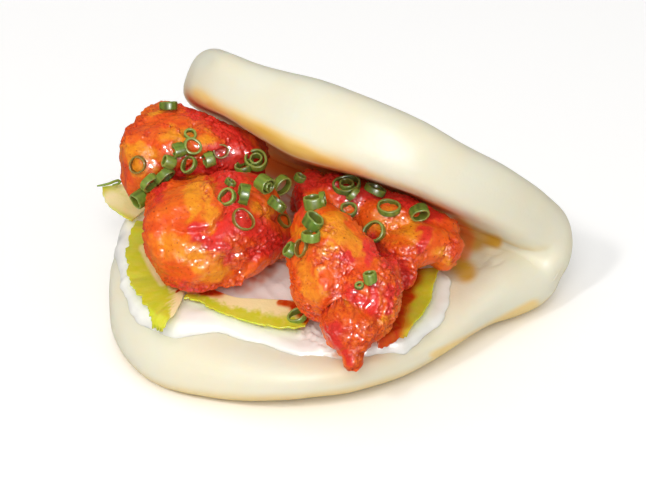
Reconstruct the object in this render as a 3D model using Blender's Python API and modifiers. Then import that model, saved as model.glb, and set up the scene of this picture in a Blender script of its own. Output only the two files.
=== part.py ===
"""Gua bao: a folded steamed bun with cream, lettuce, glazed fried chicken and sliced scallion.

Frame: the origin is on the flat underside, +X runs along the fold, the mouth opens
towards -Y, and +Z is up. Sizes are metres, written as so many millimetres times MM.
"""
import math

import bmesh
import bpy
import numpy as np
from mathutils import Matrix, Vector
from mathutils.bvhtree import BVHTree

MM = 0.001

# Dough: one oval sheet, folded over. "Reach" is measured along the sheet from the fold.
FOLD_LENGTH = 94 * MM
BOTTOM_REACH = 85.5 * MM
LID_REACH = 66.5 * MM
BOTTOM_THICKNESS = 15.2 * MM
LID_THICKNESS = 13.9 * MM
FOLD_THICKNESS = 13.2 * MM
RIM_ROUNDING = 9 * MM
LID_OPENING = math.radians(44.3)
LID_SAG_PER_METRE = 3.0
# How square the outline's corners are: 2 is an ellipse, more is squarer.
SQUARENESS_LEFT = 2.4
SQUARENESS_RIGHT = 2.6
SQUARENESS_LID = 2.44
RIGHT_SIDE_THINNING = 5 * MM
RIGHT_EDGE_LIFT = 3 * MM
FOLD_END_BULGE = 0.025
WAIST_PINCH = 0.024
FOLD_FROM_ORIGIN = 38 * MM

# Layers on the lower half.
CREAM_GAP = 0.45 * MM
CREAM_DEPTH = 2.3 * MM
CREAM_RIM_GAP = 0.7 * MM
CREAM_SWELL = 1.18
LEAF_GAP = 0.3 * MM
LEAF_DROOPS_WITHIN = (-3 * MM, 2 * MM)
CHICKEN_ABOVE_BREAD = 5.7 * MM
CHICKEN_BELOW_LID = 1.0 * MM
HALF_GAP_BETWEEN_PIECES = 0.3 * MM
DROOP_BEGINS_AND_ENDS = (12 * MM, 18 * MM)
FLOOR_EASE = 0.5 * MM
CEILING_EASE = 0.9 * MM
# Behind this Y a piece is under the lid.
LID_SHADE = -9 * MM

# The front quarter view that toppings and pieces are set out in: a spot there is given in
# its picture's pixels, and falls along the line of sight onto what carries it.
VIEW_TURN = math.radians(38.4)
VIEW_RISE = math.radians(30.8)
VIEW_DISTANCE = 0.7
VIEW_PIXELS_PER_METRE = 4400
VIEW_CENTRE = (0.0, FOLD_FROM_ORIGIN - 25 * MM, 18 * MM)
VIEW_CENTRE_PIXEL = (312.5, 230.0)

SCALLION_SIDES = 8


def smooth_step(value, low, high):
    """0 below low, 1 above high, an S curve between."""
    q = np.clip((value - low) / (high - low), 0, 1)
    return q * q * (3 - 2 * q)


def view_axes():
    """The view's right, up and backward unit vectors."""
    back = np.array([
        math.sin(VIEW_TURN) * math.cos(VIEW_RISE),
        -math.cos(VIEW_TURN) * math.cos(VIEW_RISE),
        math.sin(VIEW_RISE),
    ])
    right = np.array([math.cos(VIEW_TURN), math.sin(VIEW_TURN), 0.0])
    return right, np.cross(back, right), back


def sight_line(pixel):
    """Start point and unit direction of the line of sight through a pixel of the view."""
    right, up, back = view_axes()
    eye = np.array(VIEW_CENTRE) + back * VIEW_DISTANCE
    focal = VIEW_PIXELS_PER_METRE * VIEW_DISTANCE
    across = (pixel[0] - VIEW_CENTRE_PIXEL[0]) / focal
    down = (pixel[1] - VIEW_CENTRE_PIXEL[1]) / focal
    direction = right * across - up * down - back
    return eye, direction / np.linalg.norm(direction)


def pixel_of(point):
    """The view's pixel that a point is seen at."""
    right, up, back = view_axes()
    offset = np.array(point) - np.array(VIEW_CENTRE)
    scale = VIEW_PIXELS_PER_METRE * VIEW_DISTANCE / (VIEW_DISTANCE - offset @ back)
    return np.array(VIEW_CENTRE_PIXEL) + scale * np.array([offset @ right, -(offset @ up)])


def at_height(pixel, height):
    """The point of a pixel's line of sight that is at this height."""
    eye, direction = sight_line(pixel)
    return eye + direction * (height - eye[2]) / direction[2]


def fold_arc():
    """Radius of the fold's middle line, and half its length along the sheet."""
    radius = FOLD_THICKNESS / 2 + 1 * MM
    return radius, radius * (math.pi - LID_OPENING) / 2


def sheet(across, along):
    """Measures of the flat sheet at places across (along the fold) and along (from it).

    The outline is a super-ellipse, |across / half|^n + |along / reach|^n = 1. Returns half
    the thickness inside the rim, the rim's rounding (0 at the outline, 1 inside), the
    thinning, the edge lift, the widening, and the inset from the outline.
    """
    half = FOLD_LENGTH / 2
    power = np.where(along < 0, np.where(across < 0, SQUARENESS_LEFT, SQUARENESS_RIGHT), SQUARENESS_LID)
    reach = np.where(along < 0, BOTTOM_REACH, LID_REACH)
    level = (np.abs(across / half) ** power + np.abs(along / reach) ** power) ** (1 / power)
    inset = (1 - level) * np.hypot(across, along) / np.maximum(level, 1e-6)
    edge = np.where(level < 0.3, 1.0, np.clip(inset / RIM_ROUNDING, 0, 1))
    rounding = np.sqrt(np.maximum(1 - (1 - edge) ** 2, 0))
    thinning = RIGHT_SIDE_THINNING * smooth_step(across, 0, 36 * MM) * smooth_step(-along, 4 * MM, 45 * MM)
    full = np.where(along < 0, BOTTOM_THICKNESS - thinning, LID_THICKNESS)
    near_fold = np.exp(-(along / (14 * MM)) ** 2)
    full = full * (1 - near_fold) + FOLD_THICKNESS * near_fold
    lift = (
        RIGHT_EDGE_LIFT * smooth_step(across, 5 * MM, 30 * MM) * smooth_step(-along, 6 * MM, 28 * MM)
        * (1 - np.clip(inset / (22 * MM), 0, 1)) ** 1.5
    )
    bulge = FOLD_END_BULGE * np.exp(-(along / (9 * MM)) ** 2)
    pinch = WAIST_PINCH * np.exp(-((-along - 26 * MM) / (11 * MM)) ** 2)
    widening = np.where(across > 0, 1 + bulge - pinch, 1.0)
    return full / 2, rounding, thinning, lift, widening, inset


def dough_point(s, v, side):
    """Points of the bun's skin.

    s and v run from -1 to 1 along the fold and across it, v = 0 on the fold, negative on
    the lower half. The sheet's middle line runs flat, turns round the fold's arc, then
    climbs at the lid's opening angle, which eases off along the lid. The skin stands half
    a thickness off it: side 1 is the inside of the bun, -1 the outside.
    """
    half = FOLD_LENGTH / 2
    across = half * np.sin(np.pi * s / 2)
    power = np.where(v < 0, np.where(s < 0, SQUARENESS_LEFT, SQUARENESS_RIGHT), SQUARENESS_LID)
    room = np.maximum(1 - np.abs(across / half) ** power, 0) ** (1 / power)
    along = v * room * np.where(v < 0, BOTTOM_REACH, LID_REACH)
    half_thickness, rounding, thinning, lift, widening, _ = sheet(across, along)
    half_thickness = half_thickness * rounding
    radius, arc = fold_arc()
    full_turn = math.pi - LID_OPENING
    turn = np.clip((along + arc) / radius, 0, full_turn)
    beyond = np.maximum(along - arc, 0)
    heading = full_turn + LID_SAG_PER_METRE * beyond
    y = radius * np.sin(turn) + np.minimum(along + arc, 0)
    y = y + (np.sin(heading) - math.sin(full_turn)) / LID_SAG_PER_METRE
    z = BOTTOM_THICKNESS / 2 + radius * (1 - np.cos(turn)) + lift
    z = z - (np.cos(heading) - math.cos(full_turn)) / LID_SAG_PER_METRE
    z = z - np.where(v < 0, thinning / 2, 0)
    facing = turn + LID_SAG_PER_METRE * beyond
    y = y - side * half_thickness * np.sin(facing) + FOLD_FROM_ORIGIN
    z = z + side * half_thickness * np.cos(facing)
    return np.stack([across * widening, y, z], axis=-1)


def bread_top(x, y):
    """The lower half's upper face at x, y: its height, its height were the rim not rounded
    off, and the inset from the outline."""
    _, arc = fold_arc()
    along = np.minimum(y - FOLD_FROM_ORIGIN - arc, -0.01 * MM)
    widening = sheet(x, along)[4]
    half_thickness, rounding, thinning, lift, _, inset = sheet(x / widening, along)
    middle = BOTTOM_THICKNESS / 2 - thinning / 2 + lift
    return middle + half_thickness * rounding, middle + half_thickness, inset


def lid_underside(y):
    """Height of the lid's inner face at y, from its middle line."""
    stations = np.linspace(0.02, 1.0, 60)
    skin = dough_point(np.zeros(60), stations, np.ones(60))
    flat = stations < 0.88
    order = np.argsort(skin[flat, 1])
    return np.interp(y, skin[flat, 1][order], skin[flat, 2][order])


def lattice_value(i, j, k, seed):
    """A repeatable value in -1..1 for each whole-numbered lattice point."""
    mixed = (i * 73856093) ^ (j * 19349663) ^ (k * 83492791) ^ (seed * 2654435761)
    mixed = (mixed ^ (mixed >> 13)) * 1274126177
    mixed = mixed & 0xFFFFFFFF
    return (mixed ^ (mixed >> 16)) / 0x7FFFFFFF - 1.0


def noise(points, wavelength, seed):
    """Smooth noise in -1..1: lattice values blended with a quintic curve."""
    scaled = points / wavelength + 1000.0
    cell = np.floor(scaled).astype(np.int64)
    f = scaled - cell
    f = f * f * f * (f * (f * 6 - 15) + 10)
    total = np.zeros(len(points))
    for corner in range(8):
        step = np.array([corner & 1, corner >> 1 & 1, corner >> 2 & 1])
        weight = np.prod(np.where(step == 1, f, 1 - f), axis=1)
        i, j, k = (cell + step).T
        total += weight * lattice_value(i, j, k, seed)
    return total


# Chicken pieces. A lobe is (pixel x, pixel y, height of centre in mm, then half width,
# half height and half depth in mm as seen in the view).
CHICKEN_LOBES = {
    "chicken_left_back": (
        (173, 147, 38, 11.2, 9.4, 12),
        (207, 151, 37, 12.5, 8.6, 11.5),
        (147, 167, 35, 5.8, 8.8, 9),
        (180, 122, 40, 9.2, 5.2, 6.5),
        (238, 148, 34, 7.2, 5.5, 9),
        (182, 186, 25, 8.5, 7.2, 9),
        (224, 176, 27, 8.5, 6.5, 9),
    ),
    "chicken_left_front": (
        (200, 235, 30, 13.0, 12, 13),
        (245, 240, 28, 10.5, 10.5, 11),
        (175, 215, 31, 7.5, 9, 9),
        (225, 205, 31, 12, 8, 11),
        (277, 232, 26, 4.5, 6.5, 6),
        (190, 268, 24, 6, 4.5, 6),
        (276, 200, 20, 3.5, 5, 5),
        (276, 173, 31, 3.6, 3.0, 4),
    ),
    "chicken_right_front": (
        (335, 250, 30, 11, 12, 11),
        (325, 290, 25, 8.0, 8.5, 9),
        (365, 300, 24, 7.5, 10, 8),
        (352, 332, 19, 5.0, 4.8, 6),
        (353, 361, 16, 2.5, 2.7, 3),
        (320, 225, 33, 6.5, 5, 6),
        (388, 285, 23, 3.6, 6, 5),
    ),
    "chicken_right_back": (
        (345, 205, 27, 11, 7, 8),
        (395, 222, 25.5, 11, 7, 8),
        (436, 236, 23.5, 5.6, 6.5, 6),
        (310, 190, 28, 5.0, 4.5, 6),
        (412, 262, 21, 3.6, 6, 4.5),
        (446, 258, 21, 2.2, 3.2, 3.5),
        (300, 204, 20, 4, 5, 6),
    ),
}
LOBE_BLEND = 14
CUT_BLEND = 14


def lobe_frames(name):
    """Centre and semi-axes of each lobe of a piece, and the piece's heart, their mean by size."""
    frames = []
    for pixel_x, pixel_y, height, wide, tall, deep in CHICKEN_LOBES[name]:
        centre = at_height((pixel_x, pixel_y), height * MM)
        frames.append((centre, np.array([wide, tall, deep]) * MM))
    sizes = np.array([np.prod(semi) for _, semi in frames])
    heart = sum(centre * size for (centre, _), size in zip(frames, sizes)) / sizes.sum()
    return frames, heart


def chicken_reach(name, directions):
    """How far a piece reaches from its heart in each direction.

    Each lobe is an ellipsoid; the ray's exits from them are joined by a power mean, which
    rounds the valleys. Lumps and crags are added and creases taken off. Planes half-way to
    the neighbours cut it.
    """
    frames, heart = lobe_frames(name)
    axes = np.stack(view_axes())
    joined = np.zeros(len(directions))
    for centre, semi in frames:
        start = axes @ (heart - centre) / semi
        ray = directions @ axes.T / semi
        a = np.sum(ray * ray, axis=1)
        b = ray @ start
        inside = b * b - a * (start @ start - 1)
        leave = np.where(inside > 0, (np.sqrt(np.maximum(inside, 0)) - b) / a, 0)
        joined += np.maximum(leave, 0) ** LOBE_BLEND
    reach = joined ** (1 / LOBE_BLEND)
    surface = heart + directions * reach[:, None]
    seed = list(CHICKEN_LOBES).index(name) + 4
    lumps = 1.3 * noise(surface, 8 * MM, seed) + 1.0 * noise(surface, 5 * MM, seed + 10)
    crags = 0.8 * np.abs(noise(surface, 3.2 * MM, seed + 20))
    creases = 1.3 * np.exp(-(noise(surface, 12 * MM, seed + 30) / 0.12) ** 2)
    reach = reach + (lumps + crags - creases - 0.4) * MM
    shrink = reach ** -CUT_BLEND
    for other in CHICKEN_LOBES:
        if other != name:
            other_heart = lobe_frames(other)[1]
            away = other_heart - heart
            distance = np.linalg.norm(away)
            facing = directions @ (away / distance)
            cut = (distance / 2 - HALF_GAP_BETWEEN_PIECES) / np.maximum(facing, 1e-3)
            shrink += np.where(facing > 1e-3, cut ** -CUT_BLEND, 0)
    return heart, shrink ** (-1 / CUT_BLEND)


def settle(points):
    """Rest points on the layers below and under the lid: heights are eased in between.

    At the very front a piece may droop over the rim.
    """
    bread, unrounded, inset = bread_top(points[:, 0], points[:, 1])
    droop = (1 - smooth_step(inset, 1 * MM, 4 * MM)) * smooth_step(-points[:, 1], *DROOP_BEGINS_AND_ENDS)
    floor = unrounded + (bread - unrounded) * droop + CHICKEN_ABOVE_BREAD
    ceiling = lid_underside(points[:, 1]) - CHICKEN_BELOW_LID
    height = floor + FLOOR_EASE * np.logaddexp(0, (points[:, 2] - floor) / FLOOR_EASE)
    room = np.maximum(ceiling, floor + 1 * MM)
    lowered = room - CEILING_EASE * np.logaddexp(0, (room - height) / CEILING_EASE)
    points[:, 2] = np.where(points[:, 1] > LID_SHADE, lowered, height)
    return points


def material(name, colour, roughness):
    """A plain Principled material."""
    made = bpy.data.materials.new(name)
    made.use_nodes = True
    shader = made.node_tree.nodes["Principled BSDF"]
    shader.inputs["Base Color"].default_value = (*colour, 1.0)
    shader.inputs["Roughness"].default_value = roughness
    made.diffuse_color = (*colour, 1.0)
    return made


def add_object(name, mesh, collection, finish):
    """An object with this mesh and finish, shaded smooth."""
    mesh.shade_smooth()
    mesh.materials.append(finish)
    made = bpy.data.objects.new(name, mesh)
    collection.objects.link(made)
    return made


def bake_modifiers(obj):
    """Replace an object's mesh by its evaluated one."""
    bpy.context.view_layer.update()
    evaluated = obj.evaluated_get(bpy.context.evaluated_depsgraph_get())
    mesh = bpy.data.meshes.new_from_object(evaluated)
    obj.modifiers.clear()
    obj.data = mesh


def make_bun(collection, finish):
    """The folded dough: a loft of closed sections across the fold, drawn to a point at its ends."""
    columns, rows = 22, 12
    swing = 0.5 - 0.5 * np.cos(np.pi * np.arange(rows + 1) / rows)
    inner_v = np.concatenate([-swing[:0:-1], swing])
    v = np.concatenate([inner_v, inner_v[-2:0:-1]])
    side = np.concatenate([np.ones(len(inner_v)), -np.ones(len(inner_v) - 2)])
    stations = np.linspace(-1, 1, columns + 1)
    bm = bmesh.new()
    ends = [bm.verts.new(dough_point(np.array([s]), np.array([0.0]), np.array([1.0]))[0]) for s in (-1.0, 1.0)]
    loops = []
    for s in stations[1:-1]:
        loops.append([bm.verts.new(p) for p in dough_point(np.full(len(v), s), v, side)])
    count = len(v)
    for k in range(count):
        n = (k + 1) % count
        bm.faces.new((ends[0], loops[0][n], loops[0][k]))
        bm.faces.new((ends[1], loops[-1][k], loops[-1][n]))
        for one, two in zip(loops, loops[1:]):
            bm.faces.new((one[k], one[n], two[n], two[k]))
    bmesh.ops.recalc_face_normals(bm, faces=bm.faces[:])
    mesh = bpy.data.meshes.new("bun")
    bm.to_mesh(mesh)
    bm.free()
    return add_object("bun", mesh, collection, finish)


# Cream: how far its edge lies from the middle of the smear, at even steps of angle that
# start towards +X and run towards +Y, in mm.
CREAM_MIDDLE = (0.0, FOLD_FROM_ORIGIN - 42 * MM)
CREAM_EDGE = (
    40, 42, 41.5, 34, 30, 28.5, 30, 35, 41, 43.5,
    40, 37, 35.3, 34, 33.2, 32, 28, 29, 34, 37.5,
)


def cream_edge(angle):
    """Distance of the smear's edge at an angle: a smooth closed curve through the steps."""
    count = len(CREAM_EDGE)
    place = np.mod(angle, 2 * np.pi) / (2 * np.pi) * count
    first = np.floor(place).astype(int)
    f = place - first
    f = f * f * (3 - 2 * f)
    edge = np.array(CREAM_EDGE) * MM
    return edge[first % count] * (1 - f) + edge[(first + 1) % count] * f


def make_cream(collection, finish):
    """A smear of level crest that fills out over the bread's rounded rim.

    Rings of points round its middle, upper and lower, closed at the edge.
    """
    spokes = 52
    upper_levels = (0.35, 0.7, 0.88, 0.97)
    lower_levels = (0.3, 0.6, 0.85, 0.96)
    angle = np.arange(spokes) * 2 * np.pi / spokes
    edge = cream_edge(angle)
    bm = bmesh.new()

    def ring(level, fraction):
        x = CREAM_MIDDLE[0] + level * edge * np.cos(angle)
        y = CREAM_MIDDLE[1] + level * edge * np.sin(angle)
        bread, unrounded, inset = bread_top(x, y)
        base = bread + CREAM_GAP + CREAM_RIM_GAP * (1 - np.clip(inset / RIM_ROUNDING, 0, 1))
        swell = 1 + (CREAM_SWELL - 1) * np.sin(5 * angle + 9 * level)
        crest = unrounded + CREAM_GAP + CREAM_DEPTH * swell
        return [bm.verts.new(p) for p in zip(x, y, base + (crest - base) * fraction)]

    def centre(fraction):
        base = bread_top(np.array(CREAM_MIDDLE[0]), np.array(CREAM_MIDDLE[1]))[0] + CREAM_GAP
        return bm.verts.new((*CREAM_MIDDLE, float(base) + CREAM_DEPTH * fraction))

    upper = [ring(level, math.sqrt(1 - level ** 6)) for level in upper_levels]
    lower = [ring(level, 0.0) for level in lower_levels]
    rim = ring(1.0, 0.25)
    rings = upper + [rim] + lower[::-1]
    for one, two in zip(rings, rings[1:]):
        for k in range(spokes):
            n = (k + 1) % spokes
            bm.faces.new((one[k], one[n], two[n], two[k]))
    top, bottom = centre(1.0), centre(0.0)
    for k in range(spokes):
        n = (k + 1) % spokes
        bm.faces.new((top, rings[0][n], rings[0][k]))
        bm.faces.new((bottom, rings[-1][k], rings[-1][n]))
    bmesh.ops.triangulate(bm, faces=bm.faces[:])
    bmesh.ops.recalc_face_normals(bm, faces=bm.faces[:])
    mesh = bpy.data.meshes.new("cream")
    bm.to_mesh(mesh)
    bm.free()
    return add_object("cream", mesh, collection, finish)


# Leaves. Each is a patch: the ends of its outer edge, then of its inner edge, as pixels of
# the view and the height in mm that they are seen at. Then, in mm, how far the outer edge
# bows out, how high it is ruffled and how thick the leaf is, and how many waves it has. A
# stiff leaf juts out level past the bread.
LEAVES = {
    "lettuce_back_left": (((102, 191, 20), (133, 222, 18), (152, 206, 19), (134, 184, 20)), 2.5, 0.5, 1.6, 1.3, True),
    "lettuce_left": (((134, 230, 19), (150, 326, 16), (178, 298, 19), (172, 240, 19)), 3.6, 1.2, 0.9, 3.6, False),
    "lettuce_front": (((183, 302, 19), (304, 331, 16), (322, 310, 16), (209, 282, 19)), 1.0, 1.0, 0.9, 3.2, False),
    "lettuce_right": (((379, 348, 14.2), (414, 269, 16), (392, 272, 16), (366, 326, 17)), 8.2, 0.8, 0.9, 2.4, False),
}
LEAF_CELLS = (12, 6)


def make_leaf(name, collection, finish):
    """A thin wavy sheet over the cream: a patch between four corners, ruffled along its outer edge."""
    corners, bow, ruffle, thickness, waves, stiff = LEAVES[name]
    outer_start, outer_end, inner_end, inner_start = (
        at_height((x, y), height * MM)[:2] for x, y, height in corners
    )
    along_count, across_count = LEAF_CELLS
    u, w = np.meshgrid(np.linspace(0, 1, along_count + 1), np.linspace(0, 1, across_count + 1), indexing="ij")
    outer = outer_start + u[..., None] * (outer_end - outer_start)
    inner = inner_start + u[..., None] * (inner_end - inner_start)
    outward = outer - inner
    outward /= np.linalg.norm(outward, axis=-1)[..., None]
    notches = 0.5 * MM * np.sin(2 * np.pi * 2.3 * waves * u)
    push = (bow * MM * np.sin(np.pi * u) ** 0.75 + notches) * (1 - w) ** 1.5
    flat = outer * (1 - w[..., None]) + inner * w[..., None] + outward * push[..., None]
    x, y = flat[..., 0], flat[..., 1]
    bread, unrounded, inset = bread_top(x, y)
    drooping = bread + (unrounded - bread) * smooth_step(inset, *LEAF_DROOPS_WITHIN)
    level = BOTTOM_THICKNESS if stiff else drooping
    wave = 0.5 + 0.5 * np.sin(2 * np.pi * waves * u + 2.0 * w)
    rise = ruffle * MM * wave * (1 - w) ** 1.5
    z = level + CREAM_GAP + CREAM_DEPTH * CREAM_SWELL + LEAF_GAP + rise
    bm = bmesh.new()
    grid = [[bm.verts.new(p) for p in zip(x[i], y[i], z[i])] for i in range(along_count + 1)]
    for i in range(along_count):
        for j in range(across_count):
            a, b, c, d = grid[i][j], grid[i + 1][j], grid[i + 1][j + 1], grid[i][j + 1]
            bm.faces.new((a, b, c))
            bm.faces.new((a, c, d))
    bmesh.ops.recalc_face_normals(bm, faces=bm.faces[:])
    if sum(face.normal.z for face in bm.faces) < 0:
        bmesh.ops.reverse_faces(bm, faces=bm.faces[:])
    mesh = bpy.data.meshes.new(name)
    bm.to_mesh(mesh)
    bm.free()
    leaf = add_object(name, mesh, collection, finish)
    solid = leaf.modifiers.new("thickness", "SOLIDIFY")
    solid.thickness = thickness * MM
    solid.offset = 1.0
    bake_modifiers(leaf)
    return leaf


def make_chicken(name, collection, finish):
    """One fried piece: a fine ball whose points move out to the piece's reach."""
    bm = bmesh.new()
    bmesh.ops.create_icosphere(bm, subdivisions=4, radius=1.0)
    directions = np.array([v.co for v in bm.verts])
    directions /= np.linalg.norm(directions, axis=1)[:, None]
    heart, reach = chicken_reach(name, directions)
    points = settle(heart + directions * reach[:, None])
    for vert, point in zip(bm.verts, points):
        vert.co = point
    mesh = bpy.data.meshes.new(name)
    bm.to_mesh(mesh)
    bm.free()
    return add_object(name, mesh, collection, finish)


# Sliced scallion. A slice is (pixel x, pixel y, outer diameter in mm, height in mm, how far
# its axis leans off the surface in degrees, and towards where in the view: 0 right, 90 up).
SCALLION_WALL = 0.6 * MM
SCALLION_BITE = 0.25 * MM
SCALLION_CORNERS_IN = 5
SCALLION_SINK_STEP = 0.15 * MM
MISS_STEP = 0.06
SCALLION = {
    "chicken_left_back": (
        (168.6, 106, 4.2, 1.7, 75, 90),
        (190, 135, 3.2, 1.4, 15, 60),
        (195, 147, 4.3, 1.5, 20, 70),
        (178, 149, 3.9, 2.6, 75, 10),
        (167, 161, 3.5, 2.4, 60, 20),
        (137.5, 165, 4.1, 1.4, 20, 180),
        (188.8, 165.4, 4.0, 1.4, 25, 120),
        (208, 159, 3.7, 2.6, 75, 150),
        (222, 151.5, 3.4, 1.2, 10, 90),
        (148.5, 181, 4.4, 1.8, 70, 142),
        (161, 173.5, 4.4, 1.8, 60, 136),
        (140.5, 194, 4.1, 2.8, 75, 165),
        (255.8, 160, 5.4, 1.6, 20, 80),
        (245, 163, 4.8, 1.6, 25, 90),
    ),
    "chicken_left_front": (
        (232.5, 181, 2.4, 1.4, 60, 60),
        (229, 195.4, 4.0, 1.6, 25, 120),
        (242, 193.7, 4.8, 2.2, 80, 0),
        (243, 220.4, 5.0, 1.2, 15, 60),
        (264, 183.5, 4.2, 3.2, 60, -28),
        (278, 205, 4.6, 2.2, 78, 50),
        (284, 220.4, 3.2, 1.2, 30, 40),
        (285, 181, 4.4, 1.6, 50, 140),
    ),
    "chicken_right_back": (
        (346.3, 187.4, 5.8, 1.6, 20, 80),
        (350.4, 195, 3.4, 1.6, 75, 140),
        (348.4, 209, 4.2, 1.3, 30, 90),
        (375, 190.5, 4.8, 1.6, 70, 80),
        (388.2, 207.9, 5.2, 1.5, 25, 90),
        (418.8, 214, 4.4, 2.6, 40, -80),
        (371.3, 232.9, 5.2, 1.8, 25, 130),
        (300.5, 178, 2.6, 1.4, 60, 60),
    ),
    "chicken_right_front": (
        (315.2, 199.7, 4.6, 2.6, 55, 120),
        (323.4, 199.7, 3.6, 1.2, 80, 10),
        (312.7, 222, 4.6, 3.0, 50, 90),
        (311.6, 235.4, 4.6, 2.4, 70, 90),
        (302, 247.7, 3.8, 1.4, 25, 60),
        (290, 249, 3.4, 1.8, 70, 150),
        (369.3, 278.3, 3.4, 2.4, 65, 100),
        (358.6, 286.4, 2.0, 1.0, 20, 90),
    ),
    "lettuce_front": (
        (292, 319, 4.2, 1.6, 4, 150),
    ),
}


def corners_under(surface, corners):
    """How many of the corners lie under the surface by at least the bite."""
    under = 0
    for corner in corners:
        nearest, normal, _, _ = surface.find_nearest(corner)
        under += (corner - nearest).dot(normal) < -SCALLION_BITE
    return under


def scallion_seat(surface, middle, pixel, diameter, height, lean, towards):
    """Where a slice lies, as a matrix: it is sunk until it bites, and is seen at its pixel.

    A line of sight that misses the surface is moved towards the pixel of its middle.
    """
    right, up, _ = view_axes()
    heading_in_view = Vector(right * math.cos(towards) + up * math.sin(towards))
    ring = [
        Vector((math.cos(turn) * diameter / 2, math.sin(turn) * diameter / 2, end * height / 2))
        for turn in np.arange(SCALLION_SIDES) * 2 * math.pi / SCALLION_SIDES for end in (-1, 1)
    ]
    aim = np.array(pixel)
    seat = None
    for _ in range(6):
        eye, direction = sight_line(aim)
        place, normal, _, _ = surface.ray_cast(Vector(eye), Vector(direction))
        if place is None:
            aim = aim + (middle - aim) * MISS_STEP
            continue
        heading = (heading_in_view - normal * heading_in_view.dot(normal)).normalized()
        axis = (normal * math.cos(lean) + heading * math.sin(lean)).normalized()
        turned = axis.to_track_quat("Z", "Y").to_matrix().to_4x4()
        stand = height / 2 * math.cos(lean) + diameter / 2 * math.sin(lean)
        for _ in range(30):
            seat = Matrix.Translation(place + normal * stand) @ turned
            if corners_under(surface, [seat @ corner for corner in ring]) >= SCALLION_CORNERS_IN:
                break
            stand -= SCALLION_SINK_STEP
        aim = aim + np.array(pixel) - pixel_of(seat.translation)
    if seat is None:
        raise ValueError(f"no surface under the slice at {pixel}")
    return seat


def scallion_slice(seat, diameter, height, collection, finish):
    """A short tube resting on the surface: an open wall made solid."""
    bm = bmesh.new()
    bmesh.ops.create_cone(
        bm, segments=SCALLION_SIDES, cap_ends=False,
        radius1=diameter / 2, radius2=diameter / 2 * 0.96, depth=height, matrix=seat,
    )
    mesh = bpy.data.meshes.new("scallion")
    bm.to_mesh(mesh)
    bm.free()
    piece = add_object("scallion", mesh, collection, finish)
    wall = piece.modifiers.new("wall", "SOLIDIFY")
    wall.thickness = SCALLION_WALL
    wall.offset = -1.0


def add_scallion(carrier, finish):
    """Fuse a carrier's slices onto it with one union on their collection."""
    bpy.context.view_layer.update()
    surface = BVHTree.FromObject(carrier, bpy.context.evaluated_depsgraph_get())
    slices = bpy.data.collections.new(f"{carrier.name}_slices")
    bpy.context.scene.collection.children.link(slices)
    middle = pixel_of(sum((corner.co for corner in carrier.data.vertices), Vector()) / len(carrier.data.vertices))
    for x, y, diameter, height, lean, towards in SCALLION[carrier.name]:
        seat = scallion_seat(
            surface, middle, (x, y), diameter * MM, height * MM, math.radians(lean), math.radians(towards)
        )
        scallion_slice(seat, diameter * MM, height * MM, slices, finish)
    union = carrier.modifiers.new("scallion", "BOOLEAN")
    union.operation = "UNION"
    union.solver = "MANIFOLD"
    union.operand_type = "COLLECTION"
    union.collection = slices
    bake_modifiers(carrier)
    for piece in list(slices.objects):
        bpy.data.objects.remove(piece, do_unlink=True)
    bpy.data.collections.remove(slices)


def clear_scene():
    """Start from an empty scene."""
    for obj in list(bpy.data.objects):
        bpy.data.objects.remove(obj, do_unlink=True)


def main():
    """Build every node of the bao."""
    clear_scene()
    parts = bpy.data.collections.new("gua_bao")
    bpy.context.scene.collection.children.link(parts)
    dough = material("steamed_dough", (0.90, 0.85, 0.68), 0.6)
    cream = material("cream", (0.93, 0.92, 0.86), 0.35)
    lettuce = material("lettuce", (0.55, 0.55, 0.07), 0.4)
    chicken = material("glazed_chicken", (0.75, 0.13, 0.02), 0.25)
    scallion = material("scallion", (0.10, 0.22, 0.04), 0.4)
    make_bun(parts, dough)
    make_cream(parts, cream)
    for name in LEAVES:
        make_leaf(name, parts, lettuce)
    for name in CHICKEN_LOBES:
        make_chicken(name, parts, chicken)
    for name in SCALLION:
        add_scallion(parts.objects[name], scallion)


main()
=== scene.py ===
"""Gua bao: the looks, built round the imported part.

A folded steamed bun holds a smear of cream, lettuce, four glazed fried pieces and sliced
scallion. Every surface is worked out on a grid of two parameters, in metres, in the part's
own frame: the origin on the flat underside, +X along the fold, the mouth towards -Y.
"""
import math

import bpy
import numpy as np
from bpy.props import FloatProperty, FloatVectorProperty, PointerProperty
from mathutils import Matrix, Vector
from mathutils.bvhtree import BVHTree


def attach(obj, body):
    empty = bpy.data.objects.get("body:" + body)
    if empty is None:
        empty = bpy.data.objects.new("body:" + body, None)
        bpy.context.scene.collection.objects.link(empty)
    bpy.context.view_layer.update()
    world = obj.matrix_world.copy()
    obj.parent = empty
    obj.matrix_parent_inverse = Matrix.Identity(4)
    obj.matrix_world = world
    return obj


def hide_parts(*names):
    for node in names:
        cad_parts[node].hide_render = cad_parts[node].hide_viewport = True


bl_info = {
    "name": "Gua bao",
    "version": (1, 0, 0),
    "blender": (4, 5, 0),
    "location": "3D View > Sidebar > Gua bao",
    "description": "Builds a folded bun with cream, lettuce, glazed fried pieces and scallion",
    "category": "Add Mesh",
}

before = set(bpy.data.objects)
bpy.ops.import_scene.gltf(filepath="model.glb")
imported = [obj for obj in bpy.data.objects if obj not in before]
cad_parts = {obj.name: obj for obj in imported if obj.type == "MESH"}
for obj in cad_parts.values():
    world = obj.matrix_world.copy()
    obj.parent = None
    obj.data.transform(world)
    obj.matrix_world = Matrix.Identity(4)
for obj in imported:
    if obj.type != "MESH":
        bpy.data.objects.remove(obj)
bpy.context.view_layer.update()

MM = 0.001


def linear(red, green, blue):
    """The linear colour of a display colour given as 0 to 255."""
    share = np.array([red, green, blue]) / 255
    return tuple(np.where(share <= 0.04045, share / 12.92, ((share + 0.055) / 1.055) ** 2.4))


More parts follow.
